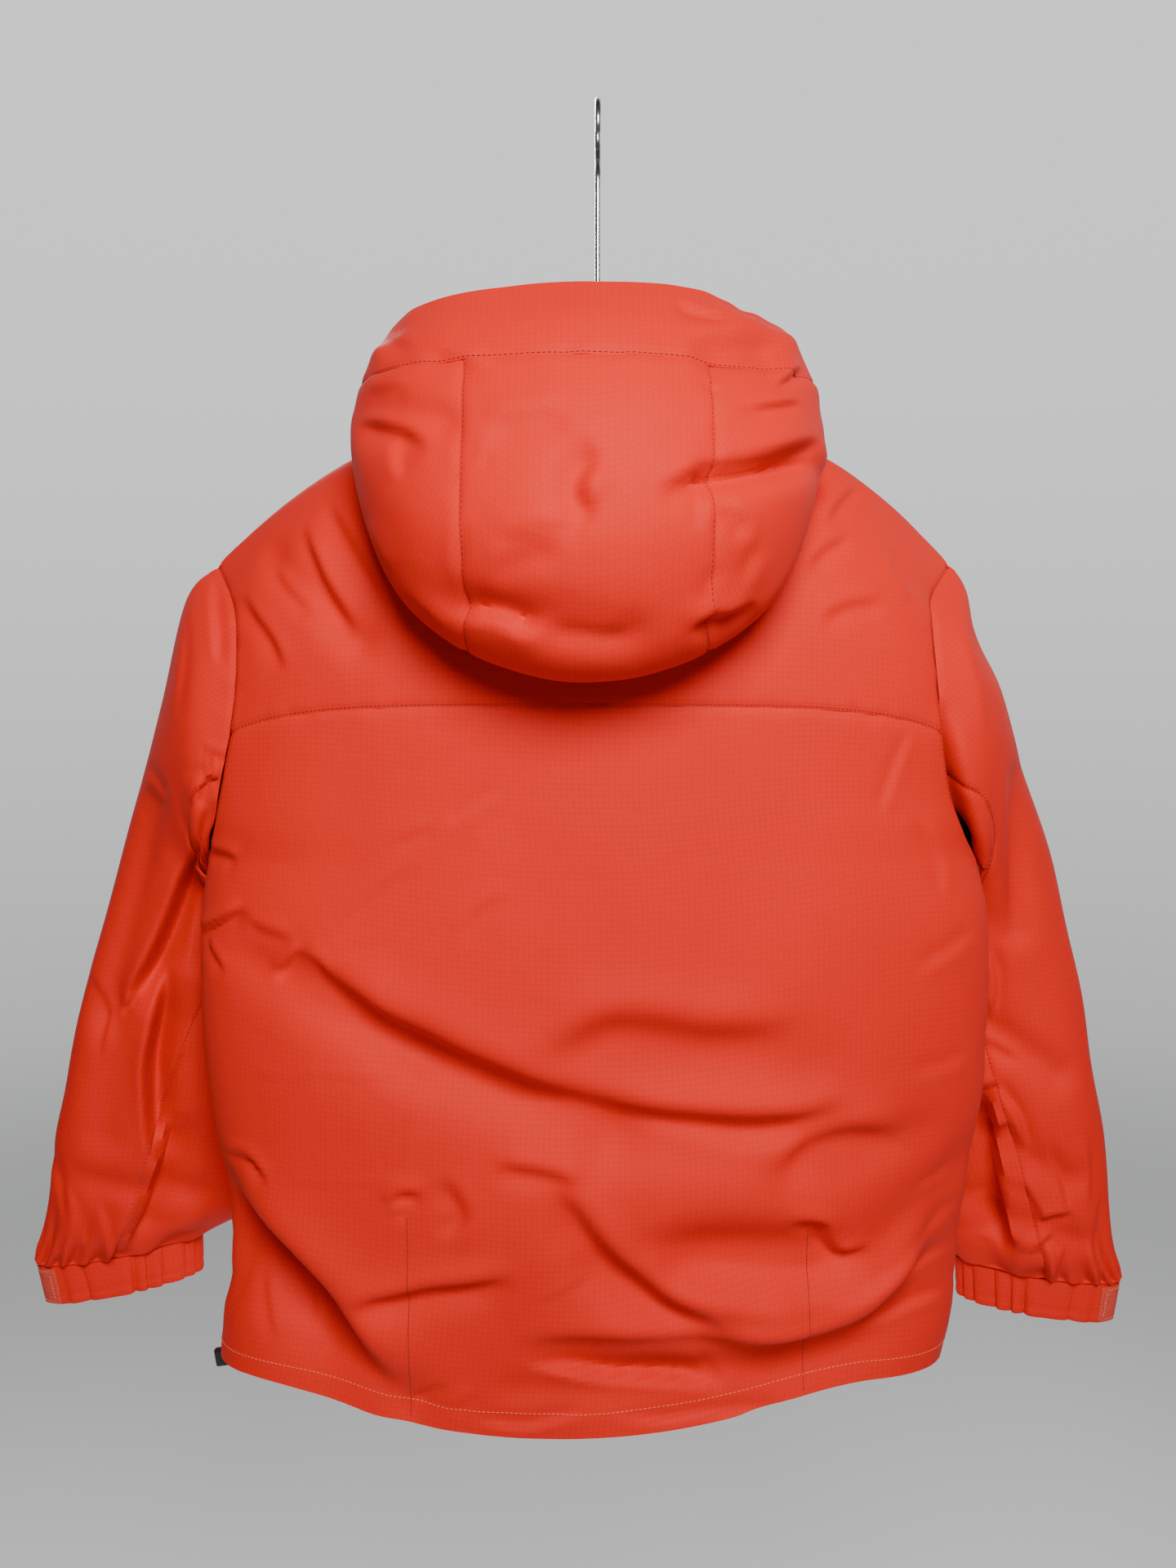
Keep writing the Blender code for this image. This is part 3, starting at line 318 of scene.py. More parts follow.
HOOD = table("back_y back_z side_x side_y side_z front_y front_z", """
-0.058 -0.222 0.0880  0.000 -0.227  0.093 -0.290
-0.062 -0.208 0.0905  0.000 -0.213 0.0945 -0.284
-0.080 -0.206 0.1080 -0.002 -0.213  0.096 -0.277
-0.099 -0.235 0.1300 -0.006 -0.221  0.098 -0.270
-0.107 -0.310 0.1480 -0.018 -0.231  0.100 -0.262
-0.117 -0.386 0.1600 -0.038 -0.241  0.102 -0.255
-0.143 -0.423 0.1655 -0.056 -0.248  0.104 -0.248
-0.182 -0.401 0.1665 -0.068 -0.250  0.106 -0.242
-0.202 -0.330 0.1660 -0.072 -0.244  0.108 -0.236
-0.190 -0.264 0.1645 -0.066 -0.234  0.110 -0.230
-0.172 -0.224 0.1630 -0.058 -0.221  0.111 -0.226
-0.150 -0.188 0.1575 -0.046 -0.204  0.112 -0.221
-0.118 -0.156 0.1490 -0.030 -0.187  0.113 -0.216
""")
HOOD_ROWS = 21
BRIM_ROW = 18
HOOD_MIDDLE = -0.0075
HOOD_CENTRE_COLUMNS = 3
HOOD_CENTRE_HALF = (0.049, 0.083)
HOOD_FULLNESS = 2.15
HOOD_STAND = (0.014, 0.006)
print("sleeve tables of", len(SLEEVES["left"]["half"]), "rows, hood table of", len(HOOD["back_y"]))

# %% [markdown]
# ## From the tables to a surface
# A smooth curve is run through each column of a table and read as finely as the cloth needs. A
# subdivided box could never follow a neckline and a sleeve cap at once, so the rows are worked out
# one by one, and only the counts differ from the solids.

# %% Curves
def through(values, at):
    """A smooth curve through a column's values, read at row numbers that need not be whole."""
    values = np.asarray(values, float)
    at = np.asarray(at, float)
    step = np.diff(values)
    slope = np.gradient(values)
    limit = 3 * np.minimum(np.abs(step[:-1]), np.abs(step[1:]))
    slope[1:-1] = np.where(step[:-1] * step[1:] > 0, np.clip(slope[1:-1], -limit, limit), 0)
    low = np.clip(at.astype(int), 0, len(values) - 2)
    share = np.clip(at - low, 0, 1)
    return (
        values[low]
        + slope[low] * share
        + (3 * step[low] - 2 * slope[low] - slope[low + 1]) * share**2
        + (slope[low] + slope[low + 1] - 2 * step[low]) * share**3
    )


def share_of(values, share):
    """The same curve, read at a share of its length."""
    return through(values, np.asarray(share) * (len(values) - 1))


def unit(vectors):
    return vectors / np.maximum(np.linalg.norm(vectors, axis=-1, keepdims=True), 1e-12)


def mix(first, second, share):
    return first + (second - first) * share


def joined(x, y, z):
    return np.stack(np.broadcast_arrays(x, y, z), axis=-1)


def eased(value):
    value = np.clip(value, 0, 1)
    return value * value * (3 - 2 * value)


print("middle of the side seam at", round(float(share_of(SIDE["height"], 0.5)), 4))

# %% [markdown]
# ## Sections of the body
# Cut level, the hanging body is two half rounds that meet at the side seams. A power above 2 makes a
# round fuller than a circle, as the down does. Above the underarm the side seam parts into the two
# edges of the armhole.

# %% Torso sections
def half_columns(fine):
    """Places of the columns of half a panel, from 0 at its middle to 1 at its side."""
    return np.arange(HALF_COLUMNS * fine + 1) / (HALF_COLUMNS * fine)


def across(place, power, turn):
    """How far out and how deep a point of a section lies, for a place from 0 to 1."""
    angle = place * (math.pi / 2 - turn)
    out = np.sin(angle) ** (2 / power)
    deep = np.maximum(np.cos(angle), 0) ** (2 / power)
    last_out = math.cos(turn) ** (2 / power)
    last_deep = math.sin(turn) ** (2 / power)
    return out / last_out, (deep - last_deep) / (1 - last_deep)


def side_point(side, row, front):
    """A point of the side seam, or of the armhole above it, on the back or the front."""
    name = "left" if side < 0 else "right"
    if row <= SIDE_ROWS:
        return np.array([share_of(SIDE[key], row / SIDE_ROWS) for key in (name, "depth", "height")])
    if row <= SIDE_ROWS + LOWER_ARMHOLE_ROWS:
        at = YOKE_END * (row - SIDE_ROWS) / LOWER_ARMHOLE_ROWS
    else:
        over = (row - SIDE_ROWS - LOWER_ARMHOLE_ROWS) / YOKE_ROWS
        at = YOKE_END + (len(ARMHOLE["height"]) - 1 - YOKE_END) * over
    x, y, z = (through(ARMHOLE[key], at) for key in (name, "front" if front else "back", "height"))
    if front:
        x = x - side * through(ARMHOLE["scoop"], at)
    return np.array([x, y, z])


def turn_of(row):
    """How far short of the side a section stops, which is not at all below the underarm."""
    return math.radians(ARMHOLE_TURN) * min(1.0, max(0.0, (row - SIDE_ROWS) / LOWER_ARMHOLE_ROWS))


def half_section(side, row, middle, front, power, fine):
    """One half of a section of the torso, from its middle to its side."""
    end = side_point(side, row, front)
    other = side_point(-side, row, front)
    out, deep = across(half_columns(fine), power, turn_of(row))
    x = mix(0.5 * (end[0] + other[0]), end[0], out)
    z = mix(middle[1], end[2], half_columns(fine) ** 3)
    return joined(x, mix(end[1], middle[0], deep), z)


print("underarm at", [round(float(value), 3) for value in side_point(-1, SIDE_ROWS, False)])

# %% [markdown]
# ## Back surface
# The back runs from the drop tail of the hem up to the curved yoke seam. Each of its rows is a
# section of the body, and the tail is a drop of the lowest rows that fades towards the sides.

# %% Back surface
BACK_FINE = 10  # times finer than the solids


def back_rows(fine):
    """The back from the hem to the yoke seam, its columns from left to right."""
    rows = []
    last = SIDE_ROWS + LOWER_ARMHOLE_ROWS
    for row in np.arange(last * fine + 1) / fine:
        share = row / last
        ends = [side_point(side, row, False)[2] for side in (-1, 1)]
        middle = (share_of(BACK_DEPTH, share), sum(ends) / 2 + share_of(BACK_LIFT, share))
        halves = [half_section(side, row, middle, False, BACK_ROUNDING, fine) for side in (-1, 1)]
        for half, tail in zip(halves, TAIL_SHARE):
            near = eased(1 - half_columns(fine) / tail)
            half[:, 2] -= TAIL_DROP * max(0.0, 1 - row / TAIL_ROWS) * near
        rows.append(np.concatenate([halves[0][::-1], halves[1][1:]]))
    return np.array(rows)


back = back_rows(BACK_FINE)
print("back", back.shape)

# %% [markdown]
# ## Yoke surface
# The neckline is a quarter of an oval on each side, and the shoulder seam falls from its end to the
# tip of the shoulder. Rows that rise to it bow inwards, as cloth does over a hanger. The yoke starts
# from the last row of the back, so the two panels meet.

# %% Yoke surface
def top_edge(side, front, fine):
    """Neckline and shoulder seam, from the middle to the shoulder tip."""
    middle_y, middle_z = FRONT_NECK if front else BACK_NECK
    tip = side_point(side, SIDE_ROWS + ARMHOLE_ROWS, front)
    place = half_columns(fine)
    angle = np.clip(place / NECK_SHARE, 0, 1) * math.pi / 2
    along = np.clip((place - NECK_SHARE) / (1 - NECK_SHARE), 0, 1)
    first_x = ZIP_GAP / 2 if front else 0
    x = np.where(
        place <= NECK_SHARE,
        side * mix(first_x, NECK_HALF_WIDTH, np.sin(angle)),
        mix(side * NECK_HALF_WIDTH, tip[0], along),
    )
    drop = (0.35 * along + 0.65 * along**SHOULDER_ROUNDING) * (NECK_SIDE_HEIGHT - tip[2])
    z = NECK_SIDE_HEIGHT + (middle_z - NECK_SIDE_HEIGHT) * np.cos(angle) ** 1.5 - drop
    return joined(x, middle_y * np.cos(angle), z)


def rising_rows(bottom, top, ends, neck_fullness, fine):
    """Rows from a level section up to the neckline and shoulder, bowed over the shoulder."""
    place = half_columns(fine)
    full = mix(neck_fullness, 1.0, eased((place - 0.5 * NECK_SHARE) / NECK_SHARE))
    grid = []
    for end in ends:
        high = (end[2] - ends[0][2]) / (ends[-1][2] - ends[0][2])
        turn = math.asin(min(1.0, high))
        share = turn / (math.pi / 2)
        rise = mix(share, high, full)
        lean = mix(share**1.5, 1 - math.cos(turn), full)
        points = joined(
            mix(bottom[:, 0], top[:, 0], lean),
            mix(bottom[:, 1], top[:, 1], lean),
            mix(bottom[:, 2], top[:, 2], rise),
        )
        grid.append(points + (end - points[-1]) * (place**1.5)[:, None])
    return np.array(grid)


def yoke_rows(seam, fine):
    """The yoke from its seam over the shoulders, its columns from left to right."""
    halves = []
    first = SIDE_ROWS + LOWER_ARMHOLE_ROWS
    middle = HALF_COLUMNS * fine
    for side in (-1, 1):
        bottom = seam[middle::-1] if side < 0 else seam[middle:]
        ends = [side_point(side, first + row / fine, False) for row in range(YOKE_ROWS * fine + 1)]
        halves.append(rising_rows(bottom, top_edge(side, False, fine), ends, NECK_FULLNESS["back"], fine))
    return np.concatenate([halves[0][:, ::-1], halves[1][:, 1:]], axis=1)


yoke = yoke_rows(back[-1], BACK_FINE)
print("yoke", yoke.shape)

# %% [markdown]
# ## Front surface
# A front is made as the back and the yoke are, in one piece from the hem to the shoulder seam. Its
# columns are moved so that the first one lies beside the zip.

# %% Front surface
FRONT_FINE = 7  # times finer than the solids


def front_rows(side, fine):
    """One front from the hem to the shoulder, its columns from the zip to the side."""
    rows = []
    for row in np.arange(SIDE_ROWS * fine + 1) / fine:
        share = row / SIDE_ROWS
        end = side_point(side, row, True)
        middle = (share_of(FRONT_DEPTH, share), end[2] + share_of(FRONT_LIFT, share))
        section = half_section(side, row, middle, True, FRONT_ROUNDING, fine)
        out, _ = across(half_columns(fine), FRONT_ROUNDING, turn_of(row))
        section[:, 0] = mix(side * ZIP_GAP / 2, end[0], out)
        rows.append(section)
    bottom = rows.pop()
    ends = [side_point(side, SIDE_ROWS + row / fine, True) for row in range(ARMHOLE_ROWS * fine + 1)]
    rising = rising_rows(bottom, top_edge(side, True, fine), ends, NECK_FULLNESS["front"], fine)
    return np.concatenate([np.array(rows), rising])


fronts = {"left": front_rows(-1, FRONT_FINE), "right": front_rows(1, FRONT_FINE)[:, ::-1]}
print("front", fronts["left"].shape)

# %% [markdown]
# ## Sleeve sections
# A sleeve's section is an oval between its outer and its inner edge, square to the line between them.
# The sleeve starts at the armhole, which the body's own seam points give.

# %% Sleeve sections
def section_frame(sleeve, at):
    """Middle, outward half-width and backward half-thickness of the sleeve's section."""
    outer, inner = (
        np.array([through(sleeve[f"{edge}_{axis}"], at) for axis in "xyz"])
        for edge in ("outer", "inner")
    )
    half_width = (outer - inner) / 2
    straight_back = np.array([0.0, -1.0, 0.0])
    along = unit(half_width)
    square = unit(straight_back - along * (straight_back @ along))
    return (outer + inner) / 2, half_width, square * through(sleeve["half"], at)


def armhole_loop(side, fine):
    """The armhole from the shoulder tip down its back to the underarm, and up its front."""
    rows = np.arange((SIDE_ROWS + ARMHOLE_ROWS) * fine, SIDE_ROWS * fine - 1, -1) / fine
    back_half = [side_point(side, row, False) for row in rows]
    front_half = [side_point(side, row, True) for row in rows]
    return np.array(back_half + front_half[-2:0:-1])


print("an armhole has", len(armhole_loop(-1, 1)), "points in the solids")

# %% [markdown]
# ## Sleeve surface
# The first ring is the armhole itself and the next ones ease into plain ovals. The angle of each
# column is chosen so that two columns always run down the two seams of the sleeve.

# %% Sleeve surface
SLEEVE_FINE = 8  # times finer than the solids
SLEEVE_COUNT = 216  # rows from the armhole to the cuff


def sleeve_angles(loop, share, fine):
    """Angle of each column round the section, from 0 at the outer edge through the back."""
    count = ARMHOLE_ROWS * fine
    middle = (loop[0, 2] + loop[count, 2]) / 2
    reach = (loop[0, 2] - loop[count, 2]) / 2
    first = np.arccos(np.clip((loop[: count + 1, 2] - middle) / reach, -1, 1))

    def last(seam_column, seam_angle):
        return np.interp(np.arange(count + 1), (0, seam_column * fine, count), (0, seam_angle, math.pi))

    turned = min(1.0, share * 2.2)
    back_seam = math.radians(share_of(BACK_SEAM_DEGREES, share))
    back_half = mix(first, last(BACK_SEAM_COLUMN, back_seam), turned)
    front_half = mix(first, last(FRONT_SEAM_COLUMN, FRONT_SEAM_ANGLE), turned)
    return np.concatenate([back_half, -front_half[-2:0:-1]])


def sleeve_rows(side, sleeve, fine, count):
    """The sleeve from the armhole to the cuff, its columns once round from the outer edge."""
    loop = armhole_loop(side, fine)
    last = len(sleeve["half"]) - 1

    def ring(at):
        middle, half_width, half_depth = section_frame(sleeve, at)
        angles = sleeve_angles(loop, at / last, fine)[:, None]
        return middle + np.cos(angles) * half_width + np.sin(angles) * half_depth

    first = loop - ring(0)
    places = last * np.arange(count + 1) / count
    return np.array([ring(at) + first * max(0.0, 1 - at / SLEEVE_FADE) ** 2 for at in places])


sleeve_grids = {
    "left": sleeve_rows(-1, SLEEVES["left"], SLEEVE_FINE, SLEEVE_COUNT)[::-1],
    "right": sleeve_rows(1, SLEEVES["right"], SLEEVE_FINE, SLEEVE_COUNT)[::-1, ::-1],
}
print("sleeve grid", sleeve_grids["left"].shape)

# %% [markdown]
# ## Lines of the hood
# The hood is worn down, so its back hangs below the neckline and turns up again to the face opening.
# Nine points on each U-shaped line hold its form, and a smooth curve joins them.

# %% Hood lines
def hood_stations(at):
    """Nine points of one U-shaped line of the hood, from its left front end to its right one."""
    row = {name: through(values, at) for name, values in HOOD.items()}
    power = 2 / HOOD_FULLNESS
    half = []
    for place in (0, 0.25, 0.5, 0.75, 1):
        angle = place * math.pi
        near = "back" if place < 0.5 else "front"
        reach = abs(math.cos(angle)) ** power
        half.append((
            mix(0 if place < 0.5 else ZIP_GAP / 2, row["side_x"], abs(math.sin(angle)) ** power),
            mix(row["side_y"], row[f"{near}_y"], reach),
            mix(row["side_z"], row[f"{near}_z"], reach),
        ))
    right = np.array(half)
    return np.concatenate([right[:0:-1] * (-1, 1, 1), right])


def catmull(points, at):
    """A smooth curve through points, read at point numbers that need not be whole."""
    slope = np.gradient(points, axis=0)
    low = np.clip(at.astype(int), 0, len(points) - 2)
    share = (at - low)[:, None]
    return (
        points[low] * (1 - 3 * share**2 + 2 * share**3)
        + points[low + 1] * (3 * share**2 - 2 * share**3)
        + slope[low] * (share - 2 * share**2 + share**3)
        + slope[low + 1] * (share**3 - share**2)
    )


print("each line of the hood runs through", len(hood_stations(0)), "points")

# %% [markdown]
# ## Hood surface
# The hood's first line is the neckline itself, and it stands up from there before it takes its own
# form. The columns are counted so that the seams of the middle panel lie on whole columns.

# %% Hood surface
HOOD_FINE = 8  # times finer than the solids


def hood_places(at, columns, fine):
    """Where the columns lie on the nine stations: one column always runs down the centre seam."""
    half = columns // 2
    wide = mix(*HOOD_CENTRE_HALF, min(1.0, at / 5)) / through(HOOD["side_x"], at)
    seam = math.asin(min(1.0, wide) ** (HOOD_FULLNESS / 2)) / math.pi
    counted = np.arange(half + 1)
    places = np.interp(counted, (0, HOOD_CENTRE_COLUMNS * fine, half / 2, half), (0, seam, 0.5, 1))
    return np.concatenate([4 - 4 * places[:0:-1], 4 + 4 * places])


def neck_edge(steps):
    """The neckline from the left front, round the back, to the right front."""
    count = NECK_COLUMNS * steps
    left, right = (top_edge(side, True, steps)[: count + 1] for side in (-1, 1))
    back_left, back_right = (top_edge(side, False, steps)[: count + 1] for side in (-1, 1))
    return np.concatenate([left, back_left[-2:0:-1], back_right, right[-2::-1]])


def hood_rows(fine):
    """The hood from the neckline to the face opening, its columns from left front to right front."""
    edge = neck_edge(2 * fine)
    columns = len(edge)
    last = len(HOOD["back_y"]) - 1
    turned = np.abs(np.linspace(-1, 1, columns))
    stand = mix(*HOOD_STAND, turned**2)
    rows = []
    for at in last * np.arange(HOOD_ROWS * fine + 1) / (HOOD_ROWS * fine):
        standing = edge + joined(0.0, 0.0, 0.0003 + stand * min(1.0, at))
        points = catmull(hood_stations(at), hood_places(at, columns, fine))
        points[:, 0] += HOOD_MIDDLE * (1 - turned**4) * min(1, at / 4)
        rows.append(mix(standing, points, eased((at - 0.6) / 1.6)))
    return np.array(rows)


hood = hood_rows(HOOD_FINE)
print("hood grid", hood.shape)

# %% [markdown]
# ## Near a line
# A crease runs along a smooth line through a few points. What it does to the cloth depends on how far
# a point of the cloth is from that line, on which side, and how far along.

# %% Near a line
LINE_POINTS = 28


def smooth_line(points):
    """Many points on a smooth line through a few, or on the straight one between two."""
    points = np.asarray(points, float)
    if len(points) == 2:
        return mix(points[0], points[1], np.linspace(0, 1, 8)[:, None])
    return catmull(points, np.linspace(0, len(points) - 1, LINE_POINTS))


def nearest(flat, line):
    """Signed distance to a line, positive above it, and the share of its length that is reached."""
    lengths = np.linalg.norm(np.diff(line, axis=0), axis=1)
    done = np.concatenate([[0], np.cumsum(lengths)])
    best = np.full(len(flat), 9.0)
    signed = np.zeros(len(flat))
    place = np.zeros(len(flat))
    for index, (start, length) in enumerate(zip(line[:-1], lengths)):
        span = line[index + 1] - start
        share = np.clip(((flat - start) @ span) / (span @ span), 0, 1)
        off = flat - start - share[:, None] * span
        away = np.linalg.norm(off, axis=1)
        closer = away < best
        best = np.where(closer, away, best)
        signed = np.where(closer, away * np.sign(span[0] * off[:, 1] - span[1] * off[:, 0]), signed)
        place = np.where(closer, (done[index] + share * length) / done[-1], place)
    return signed, place


trial_line = np.array([[0, 0], [0.1, 0]])
print("5 mm under a line, halfway along:", nearest(np.array([[0.05, -0.005]]), trial_line))

# %% [markdown]
# ## The shape of a crease
# Cloth hung on a hanger sags into rolls: a line where it swells out above and falls in below. Each
# crease is a short line of points as seen from behind, with its height above and below the line. A
# cloth simulation would give folds too, but not these folds, so they are listed one by one.

# %% Shape of a crease
END_SHARE = 0.3  # of a crease's length, over which it dies away


def crease_height(flat, crease):
    """Height of one crease over flat places: above, below, both widths, softness, then its points."""
    above, below, width_above, width_below, soft = (value / 1000 for value in crease[:5])
    line = smooth_line(np.array(crease[5:], float).reshape(-1, 2) / 1000)
    margin = 3 * max(width_above, width_below)
    inside = ((flat > line.min(axis=0) - margin) & (flat < line.max(axis=0) + margin)).all(axis=1)
    height = np.zeros(len(flat))
    if not inside.any():
        return height
    signed, place = nearest(flat[inside], line)
    over = 0.5 + 0.5 * np.tanh(signed / soft)
    upper = above * np.exp(-((signed / width_above) ** 2))
    lower = below * np.exp(-((signed / width_below) ** 2))
    ends = eased(place / END_SHARE) * eased((1 - place) / END_SHARE)
    height[inside] = (upper * over + lower * (1 - over)) * ends**0.7
    return height


trial = (3, -3, 9, 9, 4, 0, 0, 100, 0)
print("a 3 mm crease, 5 mm under its line:", crease_height(np.array([[0.05, -0.005]]), trial))

# %% [markdown]
# ## Soft lumps
# Down fills a jacket unevenly. Smooth noise between fixed values on the corners of a box grid gives
# such lumps, and it is the same each time because the values come from a formula.

# %% Soft lumps
def soft_noise(places, size, seed):
    """Smooth lumps about one size across, from -1 to 1."""
    scaled = places / size
    low = np.floor(scaled).astype(int)
    part = scaled - low
    part = part * part * (3 - 2 * part)
    total = np.zeros(places.shape[:-1])
    for corner in np.ndindex(2, 2, 2):
        value = np.sin((low + corner) @ (12.9898, 78.233, 37.719) + seed) * 43758.5453
        weight = np.prod(np.where(corner, part, 1 - part), axis=-1)
        total += weight * (2 * (value - np.floor(value)) - 1)
    return total


print("a lump near the middle of the back:", float(soft_noise(np.array([0.0, -0.15, -0.5]), 0.085, 1.0)))

# %% [markdown]
# ## Where the creases lie
# Every line of these tables is one crease in millimetres: its height above and below, its width above
# and below and how soft the step is, then the places it runs through, each an x and a z. Up is above
# when the line runs to the right.

# %% Creases of the back
BACK_CREASES = rows_of("""
2.5 -4 8 9 1.8  -304 -615 -286 -604 -272 -596 -258 -588
1.5 -2 7 8 2  -295 -615 -286 -627 -276 -639
2.2 -3.5 8 9 1.8  -241 -635 -230 -630 -222 -622 -212 -615
3.8 -5.6 28 22 6  -226 -621 -198 -633 -177 -647 -153 -663 -118 -680 -77 -697 -40 -711 -7 -719 25 -724
0 -3 20 40 8  -226 -648 -177 -666 -118 -696 -54 -721 -7 -732
3.6 -4.6 20 22 6  -19 -718 4 -723 39 -729 74 -733 109 -736 142 -735 169 -729 187 -725
0.6 2 8 14 4  13 -736 45 -742 76 -749 111 -756 151 -751 175 -739
3 -3.6 26 30 11  -54 -692 -25 -679 7 -663 39 -664 74 -670 115 -671 151 -667
2.4 -3.2 20 19 7  126 -783 138 -767 155 -753 188 -747 229 -755
2 -2.8 12 14 4  -77 -768 -54 -771 -31 -775 -10 -782
3.6 -4.8 20 24 6  -40 -781 -18 -797 -3 -818 14 -839 30 -853 50 -870 77 -883 103 -897
-4.4 -4.4 36 13 4  40 -839 75 -844 111 -848 147 -852 181 -851 203 -847
2.4 -0.4 13 26 8  34 -861 75 -874 124 -883 172 -880 213 -865
3.2 -4.4 10 10 3  138 -819 146 -815 156 -816 166 -821 170 -832 181 -844 204 -839
2.6 -2.6 18 30 6  -67 -903 -19 -899 28 -899 76 -901 118 -902 161 -899 198 -887
3.2 -5.6 46 50 15  -19 -918 40 -919 100 -922 167 -916 211 -898 243 -870 262 -837
2 -3.4 50 30 15  4 -823 40 -820 98 -820 165 -824 196 -833
3.6 -5.2 24 38 9  70 -906 118 -909 161 -905 198 -892 227 -870 248 -839 260 -806
-4.2 1.8 20 10 2.2  -55 -919 -23 -926 9 -934 43 -938 78 -943 92 -952
-1.6 1.4 5 6 2  73 -911 79 -932 91 -951
-2.4 1 9 6 2  9 -962 46 -967 78 -965 119 -965 150 -965
-2 1 10 7 2  -94 -963 -55 -968 -23 -961 -6 -959
2.6 -3.4 10 10 3  -149 -801 -144 -793 -137 -791 -126 -792
1.2 -1.8 6 7 2  -148 -810 -143 -804 -136 -802
1.2 -2.8 14 12 5  -113 -777 -103 -790 -96 -808 -110 -827
3.2 -4.2 15 17 5.5  -186 -879 -165 -873 -143 -868 -120 -862 -93 -858 -58 -851
0.9 -0.6 5 6 2.5  -46 -871 -25 -861 -3 -850
1.2 -2 6 7 2  -138 -951 -127 -943 -116 -933
1.6 -1 9 9 3  -108 -957 -99 -949 -90 -940
4.4 -6 26 34 9  -281 -804 -262 -818 -243 -833 -225 -848 -207 -866 -188 -890 -168 -918 -145 -949
4 -6.5 60 60 20  -309 -779 -274 -824 -239 -858 -207 -897 -176 -938 -152 -974
0 -2.5 24 34 9  -266 -834 -239 -865 -213 -898 -189 -933
2.2 -3 7 9 2  -286 -778 -262 -776 -248 -785 -240 -793
1.2 -1.6 8 9 3  -246 -866 -231 -889 -220 -912
0.9 -1.2 7 8 3  -268 -873 -259 -896 -247 -924
1.8 -2 9 10 3  -294 -552 -279 -551 -264 -555
1.2 -1.6 8 10 3  -258 -599 -239 -605 -219 -609
1.6 -2.2 8 8 2.5  -212 -618 -200 -626 -192 -635
1.3 -1.8 12 12 4  286 -820 264 -829 242 -845 217 -862 191 -874 158 -884
1.2 -1.7 9 10 3.5  284 -857 258 -864 232 -878 202 -890
1.2 -1.7 9 10 3.5  283 -893 253 -897 224 -907 193 -917
0.9 -1.3 8 8 3  271 -790 255 -796 234 -800
0.8 -0.5 3.5 3.5 2  -286 -719 -240 -712 -205 -709 -159 -708 -117 -710
0.7 -0.5 3.5 3.5 2  -237 -793 -198 -789 -167 -786 -140 -784
0.6 -0.5 3.5 3.5 2  -134 -711 -137 -741 -141 -781
0.6 -0.4 3.5 3.5 2  -65 -721 4 -751 51 -763
0.8 -1 9 9 4  -69 -497 -85 -511 -105 -527
0.7 -0.9 8 8 4  -146 -538 -134 -532 -117 -524
0.8 -1 9 9 4  -183 -599 -164 -578 -129 -549
0.8 -1 9 9 4  -100 -605 -88 -588 -65 -570
2 -2.6 10 12 3  -215 -309 -204 -334 -192 -358 -169 -392
1.6 -2.2 9 10 3  -262 -360 -247 -378 -233 -395 -222 -417
1.6 -2.2 9 10 3  -197 -291 -179 -320 -162 -346 -145 -371
1.2 -1.8 9 10 3  -240 -339 -223 -358 -202 -376
1 -1.4 8 8 3  227 -457 215 -486 203 -521
2 -2.6 10 10 3  162 -311 177 -293 195 -277
1.6 -2 10 10 3  146 -346 161 -330 181 -319
1.2 -1.6 9 10 3  232 -365 218 -345 210 -326
1.4 -1.8 10 10 4  154 -381 178 -369 207 -366
1 -1.2 10 10 4  234 -522 250 -553 256 -583
1 -1.2 10 10 4  282 -610 256 -624 230 -634
1 -1.3 9 9 4  280 -702 251 -709 225 -710
""")
print(len(BACK_CREASES), "creases on the back")

# %% [markdown]
# ## Creases of the hood and the sleeves
# The hood lies in soft dents where its down has settled. The long creases of the sleeves run from the
# armpit to the cuff, because the sleeves hang a little forward.

